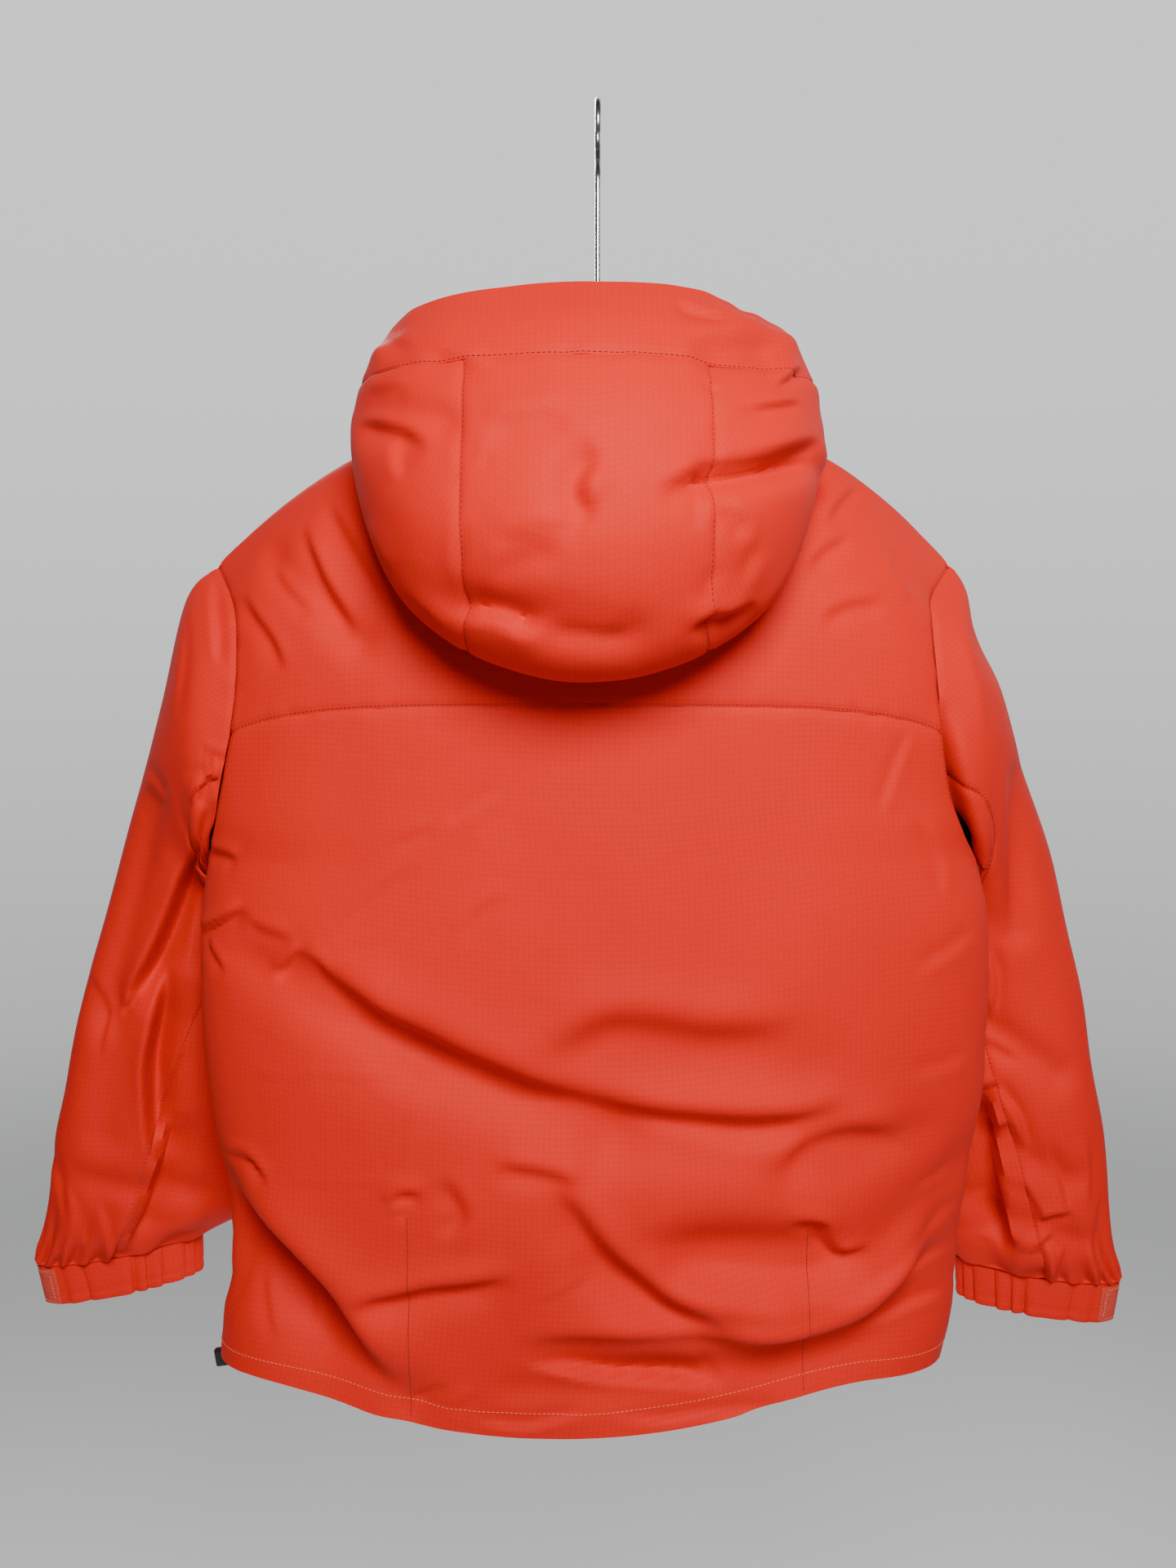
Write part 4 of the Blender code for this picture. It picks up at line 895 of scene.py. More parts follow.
# %% Creases of the hood and sleeves
HOOD_CREASES = rows_of("""
1.6 -3 7 8 1.8  50 -170 62 -176 74 -180 91 -179
1.6 -4 18 26 8  56 -200 84 -197 110 -194 129 -196
0.8 -1.2 10 12 3.5  -114 -203 -100 -209 -86 -216 -71 -225
2 -3.4 6 7 1.6  116 -229 126 -221 137 -211 144 -205
1.2 -1.8 5 5 1.6  67 -228 72 -231 78 -234
1.8 -2.8 6 8 1.8  92 -241 101 -245 115 -242 137 -236
3.6 -5.4 14 14 3  33 -303 46 -298 65 -289 80 -286 98 -282 121 -273 153 -259
1.6 -2.4 7 8 1.8  103 -284 115 -281 129 -277 151 -275
1.8 -3.6 15 17 5  3 -283 -6 -290 -12 -301 -8 -309 2 -316
2 -3.4 12 14 4  -167 -247 -144 -254 -124 -262 -107 -273
-1.6 1.2 9 9 3  -136 -261 -132 -278 -126 -294
1 -1.5 5 5 1.6  -76 -281 -72 -279 -67 -277
-4.2 2.8 11 11 2.6  -98 -385 -89 -382 -80 -380 -70 -381 -60 -384 -49 -389 -34 -390
1.2 -2.2 14 16 5  -38 -386 -18 -389 6 -392 26 -391
2.6 -4.2 12 14 3.5  57 -391 64 -385 73 -381 84 -379 102 -370
1.4 -2 9 9 3  103 -337 99 -348 94 -361
1.6 -2.4 9 10 3  78 -307 87 -316 93 -324 87 -336
1.2 -1.8 7 8 2.5  70 -296 65 -313 67 -327
-1.4 1 7 8 2.5  -86 -322 -90 -338 -92 -352
1.6 -2.2 7 8 2  76 -352 72 -363 70 -377
1.4 -2 7 8 2  94 -398 98 -387 95 -373
1 -1.4 16 18 6  -74 -260 -48 -255 -18 -251
1 -1.4 14 16 6  -69 -332 -38 -326 -7 -323
1 -1.5 14 16 6  -74 -352 -43 -339 -17 -337
0.8 -1 10 12 3  -159 -227 -143 -228 -124 -229
-3 1.6 6 7 1.6  152 -310 147 -324 139 -340 128 -353 115 -369 100 -386 80 -398
1.5 -2 10 12 4  -158 -316 -149 -334 -137 -352
1.2 -1.8 9 10 3  -126 -366 -115 -377 -102 -390
0.7 -0.9 9 12 3  -150 -182 -134 -195 -120 -201
""")
SLEEVE_CREASES = {
    "left": rows_of("""
        -3 1 12 9 3  -290 -509 -293 -522 -302 -543 -316 -567
        -12 2.4 20 12 3.5  -308 -553 -319 -574 -334 -608 -351 -642 -364 -663 -377 -684
        -2 1 12 8 3  -310 -595 -318 -629 -325 -663
        -12 2 19 10 3  -343 -655 -352 -696 -361 -737 -362 -778 -361 -821
        -9 2 20 12 3  -342 -773 -357 -822 -377 -871 -400 -922
        2 -3 7 8 2  -384 -686 -376 -683 -368 -676
        -1.4 1 12 12 4  -352 -493 -340 -503 -331 -516
        -2.6 1.6 11 12 4  -351 -699 -358 -723 -358 -751 -357 -772
        -1.8 1.2 10 10 3  -406 -848 -401 -874 -401 -906
        -1.4 1 9 9 3  -434 -833 -426 -856 -421 -899
        -1.6 1.2 9 9 3  -452 -806 -442 -838 -436 -871
        1.4 -2 5 5 1.6  -290 -474 -281 -476 -270 -481
        1.4 -2 5 5 1.6  -291 -482 -282 -486 -305 -500
        1.2 -1.8 5 5 1.6  -291 -492 -283 -495 -276 -500
        1.8 -2.4 7 7 2  -299 -515 -293 -506 -288 -497
        -1.5 1.5 8 8 2.5  -339 -831 -349 -861 -360 -885
        -1.8 1.5 8 8 2.5  -320 -865 -338 -890 -358 -908
        1.4 -1.8 7 7 2.5  -326 -761 -324 -790 -332 -818
        1.2 -1.6 9 9 3  -411 -655 -397 -690 -400 -730
        -1.2 0.8 9 9 3  -308 -380 -308 -416 -314 -452
        -1.6 1.2 8 8 3  -293 -342 -283 -380 -277 -416
    """),
    "right": rows_of("""
        -8 -8 7 9 2.5  247 -436 251 -466 259 -500 274 -538 293 -568
        2.5 2.5 12 14 4  256 -445 267 -481 282 -525 302 -573 317 -614
        -1.2 1.2 12 14 5  312 -484 313 -527 318 -581 327 -628
        -2.4 1.6 8 9 2  310 -635 317 -662 317 -697
        2 -12 10 30 3  314 -746 322 -802 333 -859 350 -925
        -3 2.2 8 8 2  323 -746 330 -762 340 -776 351 -807
        2.2 -2.8 7 8 2  309 -760 315 -753 325 -750
        1.8 -2.4 8 9 2  310 -804 322 -791 336 -780
        -2.4 1.8 8 8 2  316 -802 326 -823 335 -847
        2 -2.6 8 9 2  359 -870 373 -862 391 -860
        1.8 -2.4 7 8 2  357 -900 365 -888 375 -880
        -2.2 1.8 7 7 2  385 -890 382 -906 380 -929
        -1.4 1 8 8 2.5  414 -842 410 -872 408 -914
        2 -2.6 9 10 3  312 -863 333 -874 359 -902
        1.6 -2.2 8 9 3  312 -896 331 -908 354 -931
        1.6 -2.2 9 10 3  339 -829 354 -846 368 -870
        -1.6 1.4 8 9 3  362 -798 378 -834 385 -869
        1.4 -1.8 9 10 3  300 -712 318 -718 340 -730
        -1 1 10 10 4  271 -380 281 -422 290 -464
        -1.2 1 9 9 3  397 -793 403 -822 403 -856
    """),
}
print(len(HOOD_CREASES), "creases on the hood,", sum(map(len, SLEEVE_CREASES.values())), "on the sleeves")

# %% [markdown]
# ## Creases of the front
# The front is not in the photograph, so it gets the quiet folds that such a jacket has: a roll over
# the waist, drag lines from the armholes and small puckers beside the zip.

# %% Creases of the front
FRONT_CREASES = rows_of("""
2.6 -3.4 16 16 4  -285 -640 -230 -668 -170 -705 -110 -728 -60 -735
2.4 -3.2 15 16 4  60 -742 120 -726 180 -700 240 -664 282 -640
2 -2.8 9 10 2.5  -296 -600 -268 -612 -240 -632
2 -2.8 9 10 2.5  292 -596 262 -606 236 -628
3 -4 18 20 4.5  270 -820 230 -862 190 -905 165 -940
2.6 -3.6 18 20 4.5  -284 -812 -246 -850 -206 -900 -180 -938
2 -2.4 14 15 5  -190 -790 -120 -812 -60 -808
2 -2.4 14 15 5  50 -830 110 -842 180 -826
1.6 -2.2 12 12 4  -150 -880 -90 -896 -40 -892
1.6 -2.2 12 12 4  40 -900 90 -910 140 -900
1.4 -1.8 10 10 3  -250 -720 -225 -760 -215 -800
1.4 -1.8 10 10 3  246 -730 226 -768 220 -806
1.8 -2.4 11 12 3  -215 -340 -180 -385 -150 -440
1.8 -2.4 11 12 3  210 -340 176 -388 146 -438
1.4 -2 9 10 3  -245 -372 -222 -420 -205 -470
1.4 -2 9 10 3  236 -372 214 -420 198 -468
1.2 -1.6 11 12 4  -160 -500 -110 -520 -60 -516
1.2 -1.6 11 12 4  60 -528 112 -522 165 -500
1 -1.4 12 13 5  -220 -560 -180 -600 -150 -640
1 -1.4 12 13 5  214 -560 174 -596 150 -630
1.8 -1.8 5 5 1.8  -48 -372 -30 -369 -14 -372
1.8 -1.8 5 5 1.8  14 -436 32 -433 50 -438
1.6 -1.8 5 5 1.8  -46 -548 -30 -552 -14 -550
1.6 -1.8 5 5 1.8  14 -640 30 -636 46 -640
1.6 -1.8 5 5 1.8  -44 -706 -28 -702 -14 -706
1.8 -2 6 6 1.8  14 -772 34 -776 54 -770
1.6 -1.8 5 5 1.8  -48 -852 -30 -856 -14 -852
""")
SLEEVE_FRONT_CREASES = {
    "left": rows_of("""
        2.6 -4.2 14 15 3  -292 -560 -318 -612 -352 -668 -388 -716
        2 -2.8 9 10 2.5  -286 -690 -320 -704 -356 -700
        2 -2.6 9 10 2.5  -282 -752 -312 -770 -352 -776
        1.8 -2.4 9 9 2.5  -300 -812 -340 -826 -380 -822
        1.6 -2.2 8 9 2.5  -320 -856 -360 -866 -410 -850
        1.4 -1.8 12 12 4  -318 -430 -340 -500 -360 -560
        1.2 -1.6 10 10 3  -420 -770 -432 -820 -436 -862
    """),
    "right": rows_of("""
        2.6 -4 14 15 3  366 -700 336 -660 310 -610 294 -560
        2 -2.8 9 10 2.5  272 -700 306 -716 342 -708
        2 -2.6 9 10 2.5  270 -768 302 -786 340 -780
        1.8 -2.4 9 9 2.5  282 -826 322 -842 362 -832
        1.6 -2.2 8 9 2.5  300 -880 342 -886 388 -866
        1.4 -1.8 12 12 4  330 -560 312 -500 296 -430
        1.2 -1.6 10 10 3  404 -870 400 -820 392 -770
    """),
}
print(len(FRONT_CREASES), "creases on the fronts")

# %% [markdown]
# ## Large folds and the outline
# A few broad hollows lie under the creases and give them depth. A second table pushes the outline in
# or out at single spots, in millimetres, which makes the corners of the hood and the sleeves.

# %% Large folds and outline
LARGE_FOLDS = table("from_x from_z to_x to_z width depth", """
-0.255 -0.625 -0.130 -0.690 0.020 0.006
-0.130 -0.690  0.010 -0.750 0.024 0.008
 0.010 -0.750  0.130 -0.757 0.022 0.006
 0.005 -0.705  0.150 -0.700 0.030 0.005
-0.290 -0.815 -0.215 -0.885 0.026 0.010
-0.215 -0.885 -0.140 -0.950 0.020 0.007
 0.000 -0.850  0.090 -0.905 0.018 0.006
 0.270 -0.790  0.160 -0.880 0.022 0.006
 0.140 -0.785  0.240 -0.755 0.018 0.004
-0.235 -0.335 -0.170 -0.395 0.014 0.005
-0.060 -0.940  0.075 -0.935 0.014 0.004
-0.345 -0.520 -0.395 -0.690 0.016 0.007
-0.385 -0.690 -0.400 -0.790 0.020 0.006
 0.325 -0.500  0.330 -0.620 0.014 0.005
 0.310 -0.700  0.370 -0.740 0.014 0.006
 0.310 -0.790  0.385 -0.830 0.014 0.006
 0.305 -0.860  0.400 -0.885 0.012 0.005
-0.420 -0.830 -0.330 -0.850 0.013 0.005
-0.095 -0.370  0.020 -0.392 0.014 0.006
 0.070 -0.287  0.155 -0.274 0.012 0.006
-0.160 -0.240 -0.100 -0.255 0.012 0.005
""")
HOOD_EDGE = rows_of("""
 117 -172   -7 12
 100 -165  -12 11
  84 -160   -7 10
  48 -154    2 12
 131 -190  3.5  8
 140 -206   -2  7
 148 -222    2  8
   0 -151   -3 20
 -60 -154 -3.5 18
-149 -199  4.5  9
-139 -185 -2.5  8
-127 -171  1.5  8
 155 -269    4 10
-167 -240  1.5  9
""")
SLEEVE_EDGE = {
    "left": rows_of("""
        -300 -480 3 40
        -325 -560 3 30
        -395 -690 2 60
        -440 -800 3 30
    """),
    "right": rows_of("""
        287 -362  -9 30
        300 -395  -6 26
        380 -560 2.5 50
        410 -680   4 50
        430 -790   4 45
    """),
}
print(len(LARGE_FOLDS["depth"]), "large folds,", len(HOOD_EDGE), "spots on the outline of the hood")

# %% [markdown]
# ## Directions and lengths
# Relief is pushed outwards along the normals of the smooth grid. The lengths say where each seam is
# and how large the flat cloth was.

# %% Directions and lengths
def grid_normals(grid, closed=False):
    """Outward direction at every point of a grid, closed where it runs once round."""
    up = np.gradient(grid, axis=0)
    if closed:
        along = np.roll(grid, -1, axis=1) - np.roll(grid, 1, axis=1)
    else:
        along = np.gradient(grid, axis=1)
    return unit(np.cross(along, up))


def measured(grid):
    """Lengths along the rows and up the columns, in metres, from the first column and row."""
    along = np.zeros(grid.shape[:2])
    up = np.zeros(grid.shape[:2])
    along[:, 1:] = np.cumsum(np.linalg.norm(np.diff(grid, axis=1), axis=-1), axis=1)
    up[1:] = np.cumsum(np.linalg.norm(np.diff(grid, axis=0), axis=-1), axis=0)
    return along, up


print("the back is", round(float(measured(back)[0][0, -1]), 3), "m wide at the hem")

# %% [markdown]
# ## Relief of a panel
# The height of a panel is a sum: hollows, creases, the loft of the down, and the dip and puckers of
# its seams. Large folds and creases fade where the cloth turns away from the side that they were
# drawn from, and the corners of the outline fade where it faces that side.

# %% Relief of a panel
CREASE_GAIN = (1.3, 2.4)  # for narrow creases, and for broad ones


def large_folds(grid, normals):
    """Depth of the broad hollows, on the part of a panel that faces backwards."""
    depth = np.zeros(grid.shape[:2])
    flat = grid[..., [0, 2]]
    for index in range(len(LARGE_FOLDS["depth"])):
        fold = {name: values[index] for name, values in LARGE_FOLDS.items()}
        start = np.array([fold["from_x"], fold["from_z"]])
        span = np.array([fold["to_x"], fold["to_z"]]) - start
        share = np.clip((flat - start) @ span / (span @ span), 0, 1)
        away = np.linalg.norm(flat - start - share[..., None] * span, axis=-1)
        depth += fold["depth"] * np.exp(-((away / fold["width"]) ** 2))
    return -depth * np.clip(-1.6 * normals[..., 1], 0, 1)


def creased(grid, normals, creases, facing):
    """Height of all creases that are seen from one side: facing is -1 from behind, 1 from the front."""
    flat = grid[..., [0, 2]].reshape(-1, 2)
    height = np.zeros(len(flat))
    for crease in creases:
        broad = eased((max(crease[2:4]) - 7) / 12)
        height += mix(*CREASE_GAIN, broad) * crease_height(flat, crease)
    return height.reshape(grid.shape[:2]) * eased(1.7 * facing * normals[..., 1])


def edge_shape(grid, normals, spots):
    """Corners and hollows of the outline, each a spot in millimetres: x, z, push and reach."""
    flat = grid[..., [0, 2]]
    height = np.zeros(grid.shape[:2])
    for x, z, push, reach in spots:
        away = np.linalg.norm(flat * 1000 - (x, z), axis=-1)
        height += push / 1000 * np.exp(-((away / reach) ** 2))
    return height * eased(1.25 - 1.25 * np.abs(normals[..., 1]))


trial_height = creased(back, grid_normals(back), BACK_CREASES, -1)
print("creases of the back reach from", trial_height.min(), "to", trial_height.max(), "m")

# %% [markdown]
# ## Loft and seams
# The loft is the uneven swelling of the down. A seam holds the cloth flat, so it lies in a narrow dip
# with small puckers beside it.

# %% Loft and seams
LOFT = 0.0011
LOFT_SIZE = 0.085
DRAG = 0.0004
DRAG_SIZE = 0.030
SEAM_DIP = 0.0013
SEAM_REACH = 0.0030
PUCKER = 0.00055
PUCKER_SIZE = 0.011
PUCKER_REACH = 0.010


def padded_lumps(grid, seed, strength=1.0):
    """The loft of the down: broad swellings, and weak drag lines that run down the cloth."""
    broad = soft_noise(grid, LOFT_SIZE, seed)
    drag = soft_noise(grid * (1, 1, 0.35), DRAG_SIZE, seed + 5)
    return strength * (LOFT * broad + DRAG * drag)


def seam_relief(distance, run, seed):
    """A seam lies in a narrow dip, and the cloth beside it puckers."""
    places = joined(run, distance * 0.4, 0.0)
    pucker = soft_noise(places, PUCKER_SIZE, seed) * np.exp(-((distance / PUCKER_REACH) ** 2))
    return -SEAM_DIP * np.exp(-((distance / SEAM_REACH) ** 2)) + PUCKER * pucker


print("a seam's own line lies", -float(seam_relief(np.zeros(1), np.zeros(1), 0.0)[0]), "m deep")

# %% [markdown]
# ## Shader helpers
# Every finish on the jacket is built from the same few things: sums, noise that follows the piece's
# own place, a bump and a mix of a dark and a light colour.

# %% Shader helpers
def maths(tree, operation, *operands):
    """A sum of two sockets or numbers, or another operation on them."""
    made = node(tree, "ShaderNodeMath", operation=operation)
    for socket, value in zip(made.inputs, operands):
        if isinstance(value, (int, float)):
            socket.default_value = value
        else:
            tree.links.new(value, socket)
    return made.outputs[0]


def noise(tree, scale, detail=2.0, distortion=0.0):
    """Noise over the piece's own place."""
    place = node(tree, "ShaderNodeTexCoord").outputs["Object"]
    values = {"Scale": scale, "Detail": detail, "Distortion": distortion}
    return node(tree, "ShaderNodeTexNoise", {"Vector": place}, values).outputs["Fac"]


def bumped(tree, shader, height, strength, distance):
    """Gives a shader a height to bump its surface with."""
    relief = node(tree, "ShaderNodeBump", {"Height": height}, {"Strength": strength, "Distance": distance})
    tree.links.new(relief.outputs["Normal"], shader.inputs["Normal"])


def tinted(tree, shader, share, dark, light):
    """Gives a shader a colour between a dark and a light one."""
    ends = {"A": (*dark, 1), "B": (*light, 1)}
    tint = node(tree, "ShaderNodeMix", {"Factor": share}, ends, data_type="RGBA")
    tree.links.new(tint.outputs["Result"], shader.inputs["Base Color"])


print("helpers: maths, noise, bumped and tinted")

# %% [markdown]
# ## Red ripstop
# The outer cloth is a tightly woven matte polyester in a warm red. A thicker thread every few
# millimetres, both ways, makes the fine squares of a ripstop. The pattern runs with the cut of each
# panel, so the material reads a UV map in metres. The weave is bump, not geometry.

# %% Shell cloth material
RIPSTOP_PITCH = 0.0042
THREAD_SHARE = 0.14


def ripstop_lines(tree, pitch):
    """1 on the thicker threads of the cloth, 0 between them."""
    flat = node(tree, "ShaderNodeTexCoord").outputs["UV"]
    parts = node(tree, "ShaderNodeSeparateXYZ", {0: flat}).outputs
    lines = []
    for axis in ("X", "Y"):
        counted = maths(tree, "FRACT", maths(tree, "MULTIPLY", parts[axis], 1 / pitch))
        centred = maths(tree, "ABSOLUTE", maths(tree, "SUBTRACT", counted, 0.5))
        lines.append(maths(tree, "GREATER_THAN", centred, 0.5 - THREAD_SHARE / 2))
    return maths(tree, "MAXIMUM", *lines)


def cloth_material(name, dark, light, roughness, sheen, pitch, bump):
    """A woven cloth with a thicker thread every pitch, both ways."""
    material, tree, shader = plain_shader(name, light, roughness)
    shader.inputs["Sheen Weight"].default_value = sheen
    shader.inputs["Sheen Roughness"].default_value = 0.45
    shader.inputs["Sheen Tint"].default_value = (1.0, 0.62, 0.52, 1)
    shader.inputs["Specular IOR Level"].default_value = 0.18
    threads = ripstop_lines(tree, pitch)
    fine = noise(tree, 1500, 1.0)
    wrinkle = noise(tree, 26, 3.0, 0.6)
    blotch = noise(tree, 5.5)
    share = maths(tree, "ADD", maths(tree, "MULTIPLY", blotch, 0.8), maths(tree, "MULTIPLY", fine, 0.35))
    share = maths(tree, "SUBTRACT", share, maths(tree, "MULTIPLY", threads, 0.30))
    tinted(tree, shader, share, dark, light)
    height = maths(tree, "ADD", maths(tree, "MULTIPLY", threads, 0.25), maths(tree, "MULTIPLY", fine, 0.16))
    height = maths(tree, "ADD", height, maths(tree, "MULTIPLY", wrinkle, 3.2))
    bumped(tree, shader, height, bump, 0.0012)
    return material


outside = ((0.56, 0.007, 0.002), (0.72, 0.012, 0.004))
inside = ((0.30, 0.006, 0.003), (0.40, 0.009, 0.004))
shell = cloth_material("red_ripstop", *outside, 0.68, 0.02, RIPSTOP_PITCH, 0.22)
lining = cloth_material("red_lining", *inside, 0.45, 0.03, 0.5, 0.10)
print("cloth materials", shell.name, lining.name)

# %% [markdown]
# ## Cutting the panels
# A panel is a thin closed shell: the outer face carries the creases, and the inner face follows it a
# cloth's thickness behind, in the lining. The size that each panel was cut to is worked out and
# printed, because a buyer may want the pattern pieces.

# %% Thin shells
def grid_faces(rows, columns, closed):
    """Four corners of every face of a grid, closed where its last column meets its first."""
    across = columns if closed else columns - 1
    row, column = np.meshgrid(np.arange(rows - 1), np.arange(across), indexing="ij")
    here = row * columns + column
    after = row * columns + (column + 1) % columns
    return np.stack([here, after, after + columns, here + columns], axis=-1).reshape(-1, 4)


def shell_mesh(name, outer, inner, uv, closed):
    """A closed thin shell between two grids, with its UV map in metres and its inner faces second."""
    rows, columns, _ = outer.shape
    count = rows * columns
    face = grid_faces(rows, columns, closed)
    first = np.arange(columns if closed else columns - 1)
    after = (first + 1) % columns
    bottom = np.stack([after, first, first + count, after + count], axis=-1)
    top = (rows - 1) * columns
    upper = np.stack([first + top, after + top, after + top + count, first + top + count], axis=-1)
    walls = [bottom, upper]
    if not closed:
        low = np.arange(rows - 1) * columns
        high = low + columns
        walls.append(np.stack([low, high, high + count, low + count], axis=-1))
        end = columns - 1
        walls.append(np.stack([high + end, low + end, low + end + count, high + end + count], axis=-1))
    faces = np.concatenate([face, face[:, ::-1] + count, *walls])
    mesh = bpy.data.meshes.new(name)
    points = np.concatenate([outer.reshape(-1, 3), inner.reshape(-1, 3)])
    mesh.from_pydata(points.tolist(), [], faces.tolist())
    inside = np.zeros(len(faces), dtype=np.int32)
    inside[len(face) : 2 * len(face)] = 1
    mesh.polygons.foreach_set("material_index", inside)
    corner = np.empty(len(mesh.loops), dtype=np.int32)
    mesh.loops.foreach_get("vertex_index", corner)
    flat = np.concatenate([uv.reshape(-1, 2)] * 2)
    layer = mesh.uv_layers.new(name="cut")
    layer.data.foreach_set("uv", flat[corner].astype(np.float32).ravel())
    mesh.shade_smooth()
    mesh.set_sharp_from_angle(angle=math.radians(55))
    return mesh


print("a grid of 3 x 3 points has", len(grid_faces(3, 3, False)), "faces")

# %% [markdown]
# ## Sewing a panel
# Sewing a panel in takes its mesh, its two cloths, the body that it rides on, the solid that it
# stands for and the size that it was cut to. The cut is measured on the smooth surface, before the
# creases are added.

# %% Sewing
def area_of(grid, closed=False):
    """Area of a grid, from the diagonals of its faces."""
    if closed:
        grid = np.concatenate([grid, grid[:, :1]], axis=1)
    first = grid[1:, 1:] - grid[:-1, :-1]
    second = grid[1:, :-1] - grid[:-1, 1:]
    return float(np.linalg.norm(np.cross(first, second), axis=-1).sum() / 2)


def sew(name, grid, normals, height, node_name, closed=False, cut=None, wall=WALL, cloth=None):
    """Adds one panel: its shell and materials on its body, hides its solid, and prints its cut size."""
    outer = grid + normals * height[..., None]
    along, up = measured(grid)
    uv = np.stack([along - along[:, along.shape[1] // 2 : along.shape[1] // 2 + 1], up], axis=-1)
    mesh = shell_mesh(name, outer, outer - normals * wall, uv, closed)
    panel = placed(name, mesh)
    for material in cloth or (shell, lining):
        mesh.materials.append(material)
    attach(panel, "jacket")
    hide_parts(node_name)
    area = area_of(grid, closed)
    widest = float(along[:, -1].max())
    size = cut or (widest, max(float(up[-1].mean()), area / (0.98 * widest)))
    area = min(area, 0.999 * size[0] * size[1])
    print(f"{name}: cut {size[0]:.3f} x {size[1]:.3f} m, {area:.4f} m2, {len(mesh.polygons)} faces")
    return outer


print("the smooth back has an area of", round(float(area_of(back)), 4), "square metres")

# %% [markdown]
# ## Back and yoke
# The back and the yoke share one table of creases, so a crease may run on from one to the other. The
# loft of the down is calmed near the seams, where the cloth is held flat.

# %% Back and yoke
CALM_EDGE = 0.030


def edge_distances(grid):
    """For each edge: how far every point is from it, and how far along it."""
    along, up = measured(grid)
    to_end = along[:, -1:] - along
    to_top = up[-1:] - up
    return {"left": (along, up), "right": (to_end, up), "bottom": (up, along), "top": (to_top, along)}


def panel_height(grid, normals, seed, creases, facing, edges):
    """All the relief of a panel: large folds, creases, lumps, and the seams at the named edges."""
    distances = edge_distances(grid)
    height = large_folds(grid, normals) + creased(grid, normals, creases, facing)
    calm = 1.0
    for edge in edges:
        distance, run = distances[edge]
        height += seam_relief(distance, run, seed + len(edge))
        calm = calm * eased(distance / CALM_EDGE)
    return height + padded_lumps(grid, seed) * mix(0.3, 1.0, calm)


back_normals = grid_normals(back)
back_height = panel_height(back, back_normals, 1.0, BACK_CREASES, -1, ("left", "right", "top"))
back_surface = sew("back_cloth", back, back_normals, back_height, "back_panel")
yoke_normals = grid_normals(yoke)
yoke_height = panel_height(yoke, yoke_normals, 2.0, BACK_CREASES, -1, ("left", "right", "bottom"))
yoke_surface = sew("yoke_cloth", yoke, yoke_normals, yoke_height, "back_yoke")

# %% [markdown]
# ## Fronts
# The two fronts are plain and meet at the zip. Facing is 1 here, so that only the part of a panel that
# faces forwards takes the creases of the front.

# %% Fronts
front_surfaces = {}
for seed, (side, grid) in enumerate(fronts.items(), start=3):
    normals = grid_normals(grid)
    height = panel_height(grid, normals, seed, FRONT_CREASES, 1, ("left", "right", "top"))
    front_surfaces[side] = sew(f"front_cloth_{side}", grid, normals, height, f"front_{side}")

# %% [markdown]
# ## Sleeves
# Relief is worked out once for the whole round sleeve, so that folds run over its seams, and the
# sleeve is then cut into its upper and its under part. The creases fade out above the cuff, where the
# width of the sleeve is drawn into the elastic and fans out in puckers.

# %% Sleeves
CUFF_FADE = 0.045
ARMHOLE_FADE = 0.05
COLUMN_WIDTH = 0.0027


def gathered_end(grid, seed):
    """Puckers that fan up from the cuff, short ones and long ones."""
    _, up = measured(grid)
    columns = grid.shape[1]
    turn = np.arange(columns) / columns * 2 * math.pi
    phase = 15 * turn + 1.1 * np.sin(3 * turn + seed) + 0.8 * np.sin(5 * turn - seed)
    near = np.exp(-((up / 0.030) ** 2)) * eased(up / 0.004 + 0.35)
    long_ones = np.exp(-((up / 0.070) ** 2)) * eased(up / 0.02)
    return 0.0030 * np.cos(phase) * near + 0.0028 * np.cos(6 * turn + seed) * long_ones


round_columns = 2 * ARMHOLE_ROWS * SLEEVE_FINE
back_seam = BACK_SEAM_COLUMN * SLEEVE_FINE
front_seam = round_columns - FRONT_SEAM_COLUMN * SLEEVE_FINE


def sleeve_part(part, side):
    """Numbers of the columns of the upper or the under part, from left to right."""
    first, last = (front_seam, round_columns + back_seam) if part == "upper" else (back_seam, front_seam)
    chosen = np.arange(first, last + 1) % round_columns
    return chosen if side == "left" else (round_columns - 1 - chosen)[::-1] % round_columns


sleeve_surfaces = {}
for seed, (side, grid) in enumerate(sleeve_grids.items(), start=6):
    normals = grid_normals(grid, closed=True)
    normals[0] = normals[1]
    _, up = measured(grid)
    to_top = up[-1:] - up
    height = large_folds(grid, normals) + creased(grid, normals, SLEEVE_CREASES[side], -1)
    height += creased(grid, normals, SLEEVE_FRONT_CREASES[side], 1)
    height = height * eased(up / CUFF_FADE) + gathered_end(grid, seed) + padded_lumps(grid, seed)
    height += edge_shape(grid, normals, SLEEVE_EDGE[side]) * eased(to_top / ARMHOLE_FADE)
    height += seam_relief(to_top, np.arange(round_columns)[None, :] * COLUMN_WIDTH, seed)
    for part in ("upper", "under"):
        chosen = sleeve_part(part, side)
        piece = grid[:, chosen]
        distances = edge_distances(piece)
        seams = seam_relief(*distances["left"], seed + 1) + seam_relief(*distances["right"], seed + 2)
        name = f"sleeve_{part}_{side}"
        total = height[:, chosen] + seams
        sleeve_surfaces[name] = sew(f"{name}_cloth", piece, normals[:, chosen], total, name)

# %% [markdown]
# ## Hood
# The hood is one surface too, cut along three seams into a middle panel, two sides and the brim. Only
# the edges that are sewn to another panel of the hood get a seam's dip.

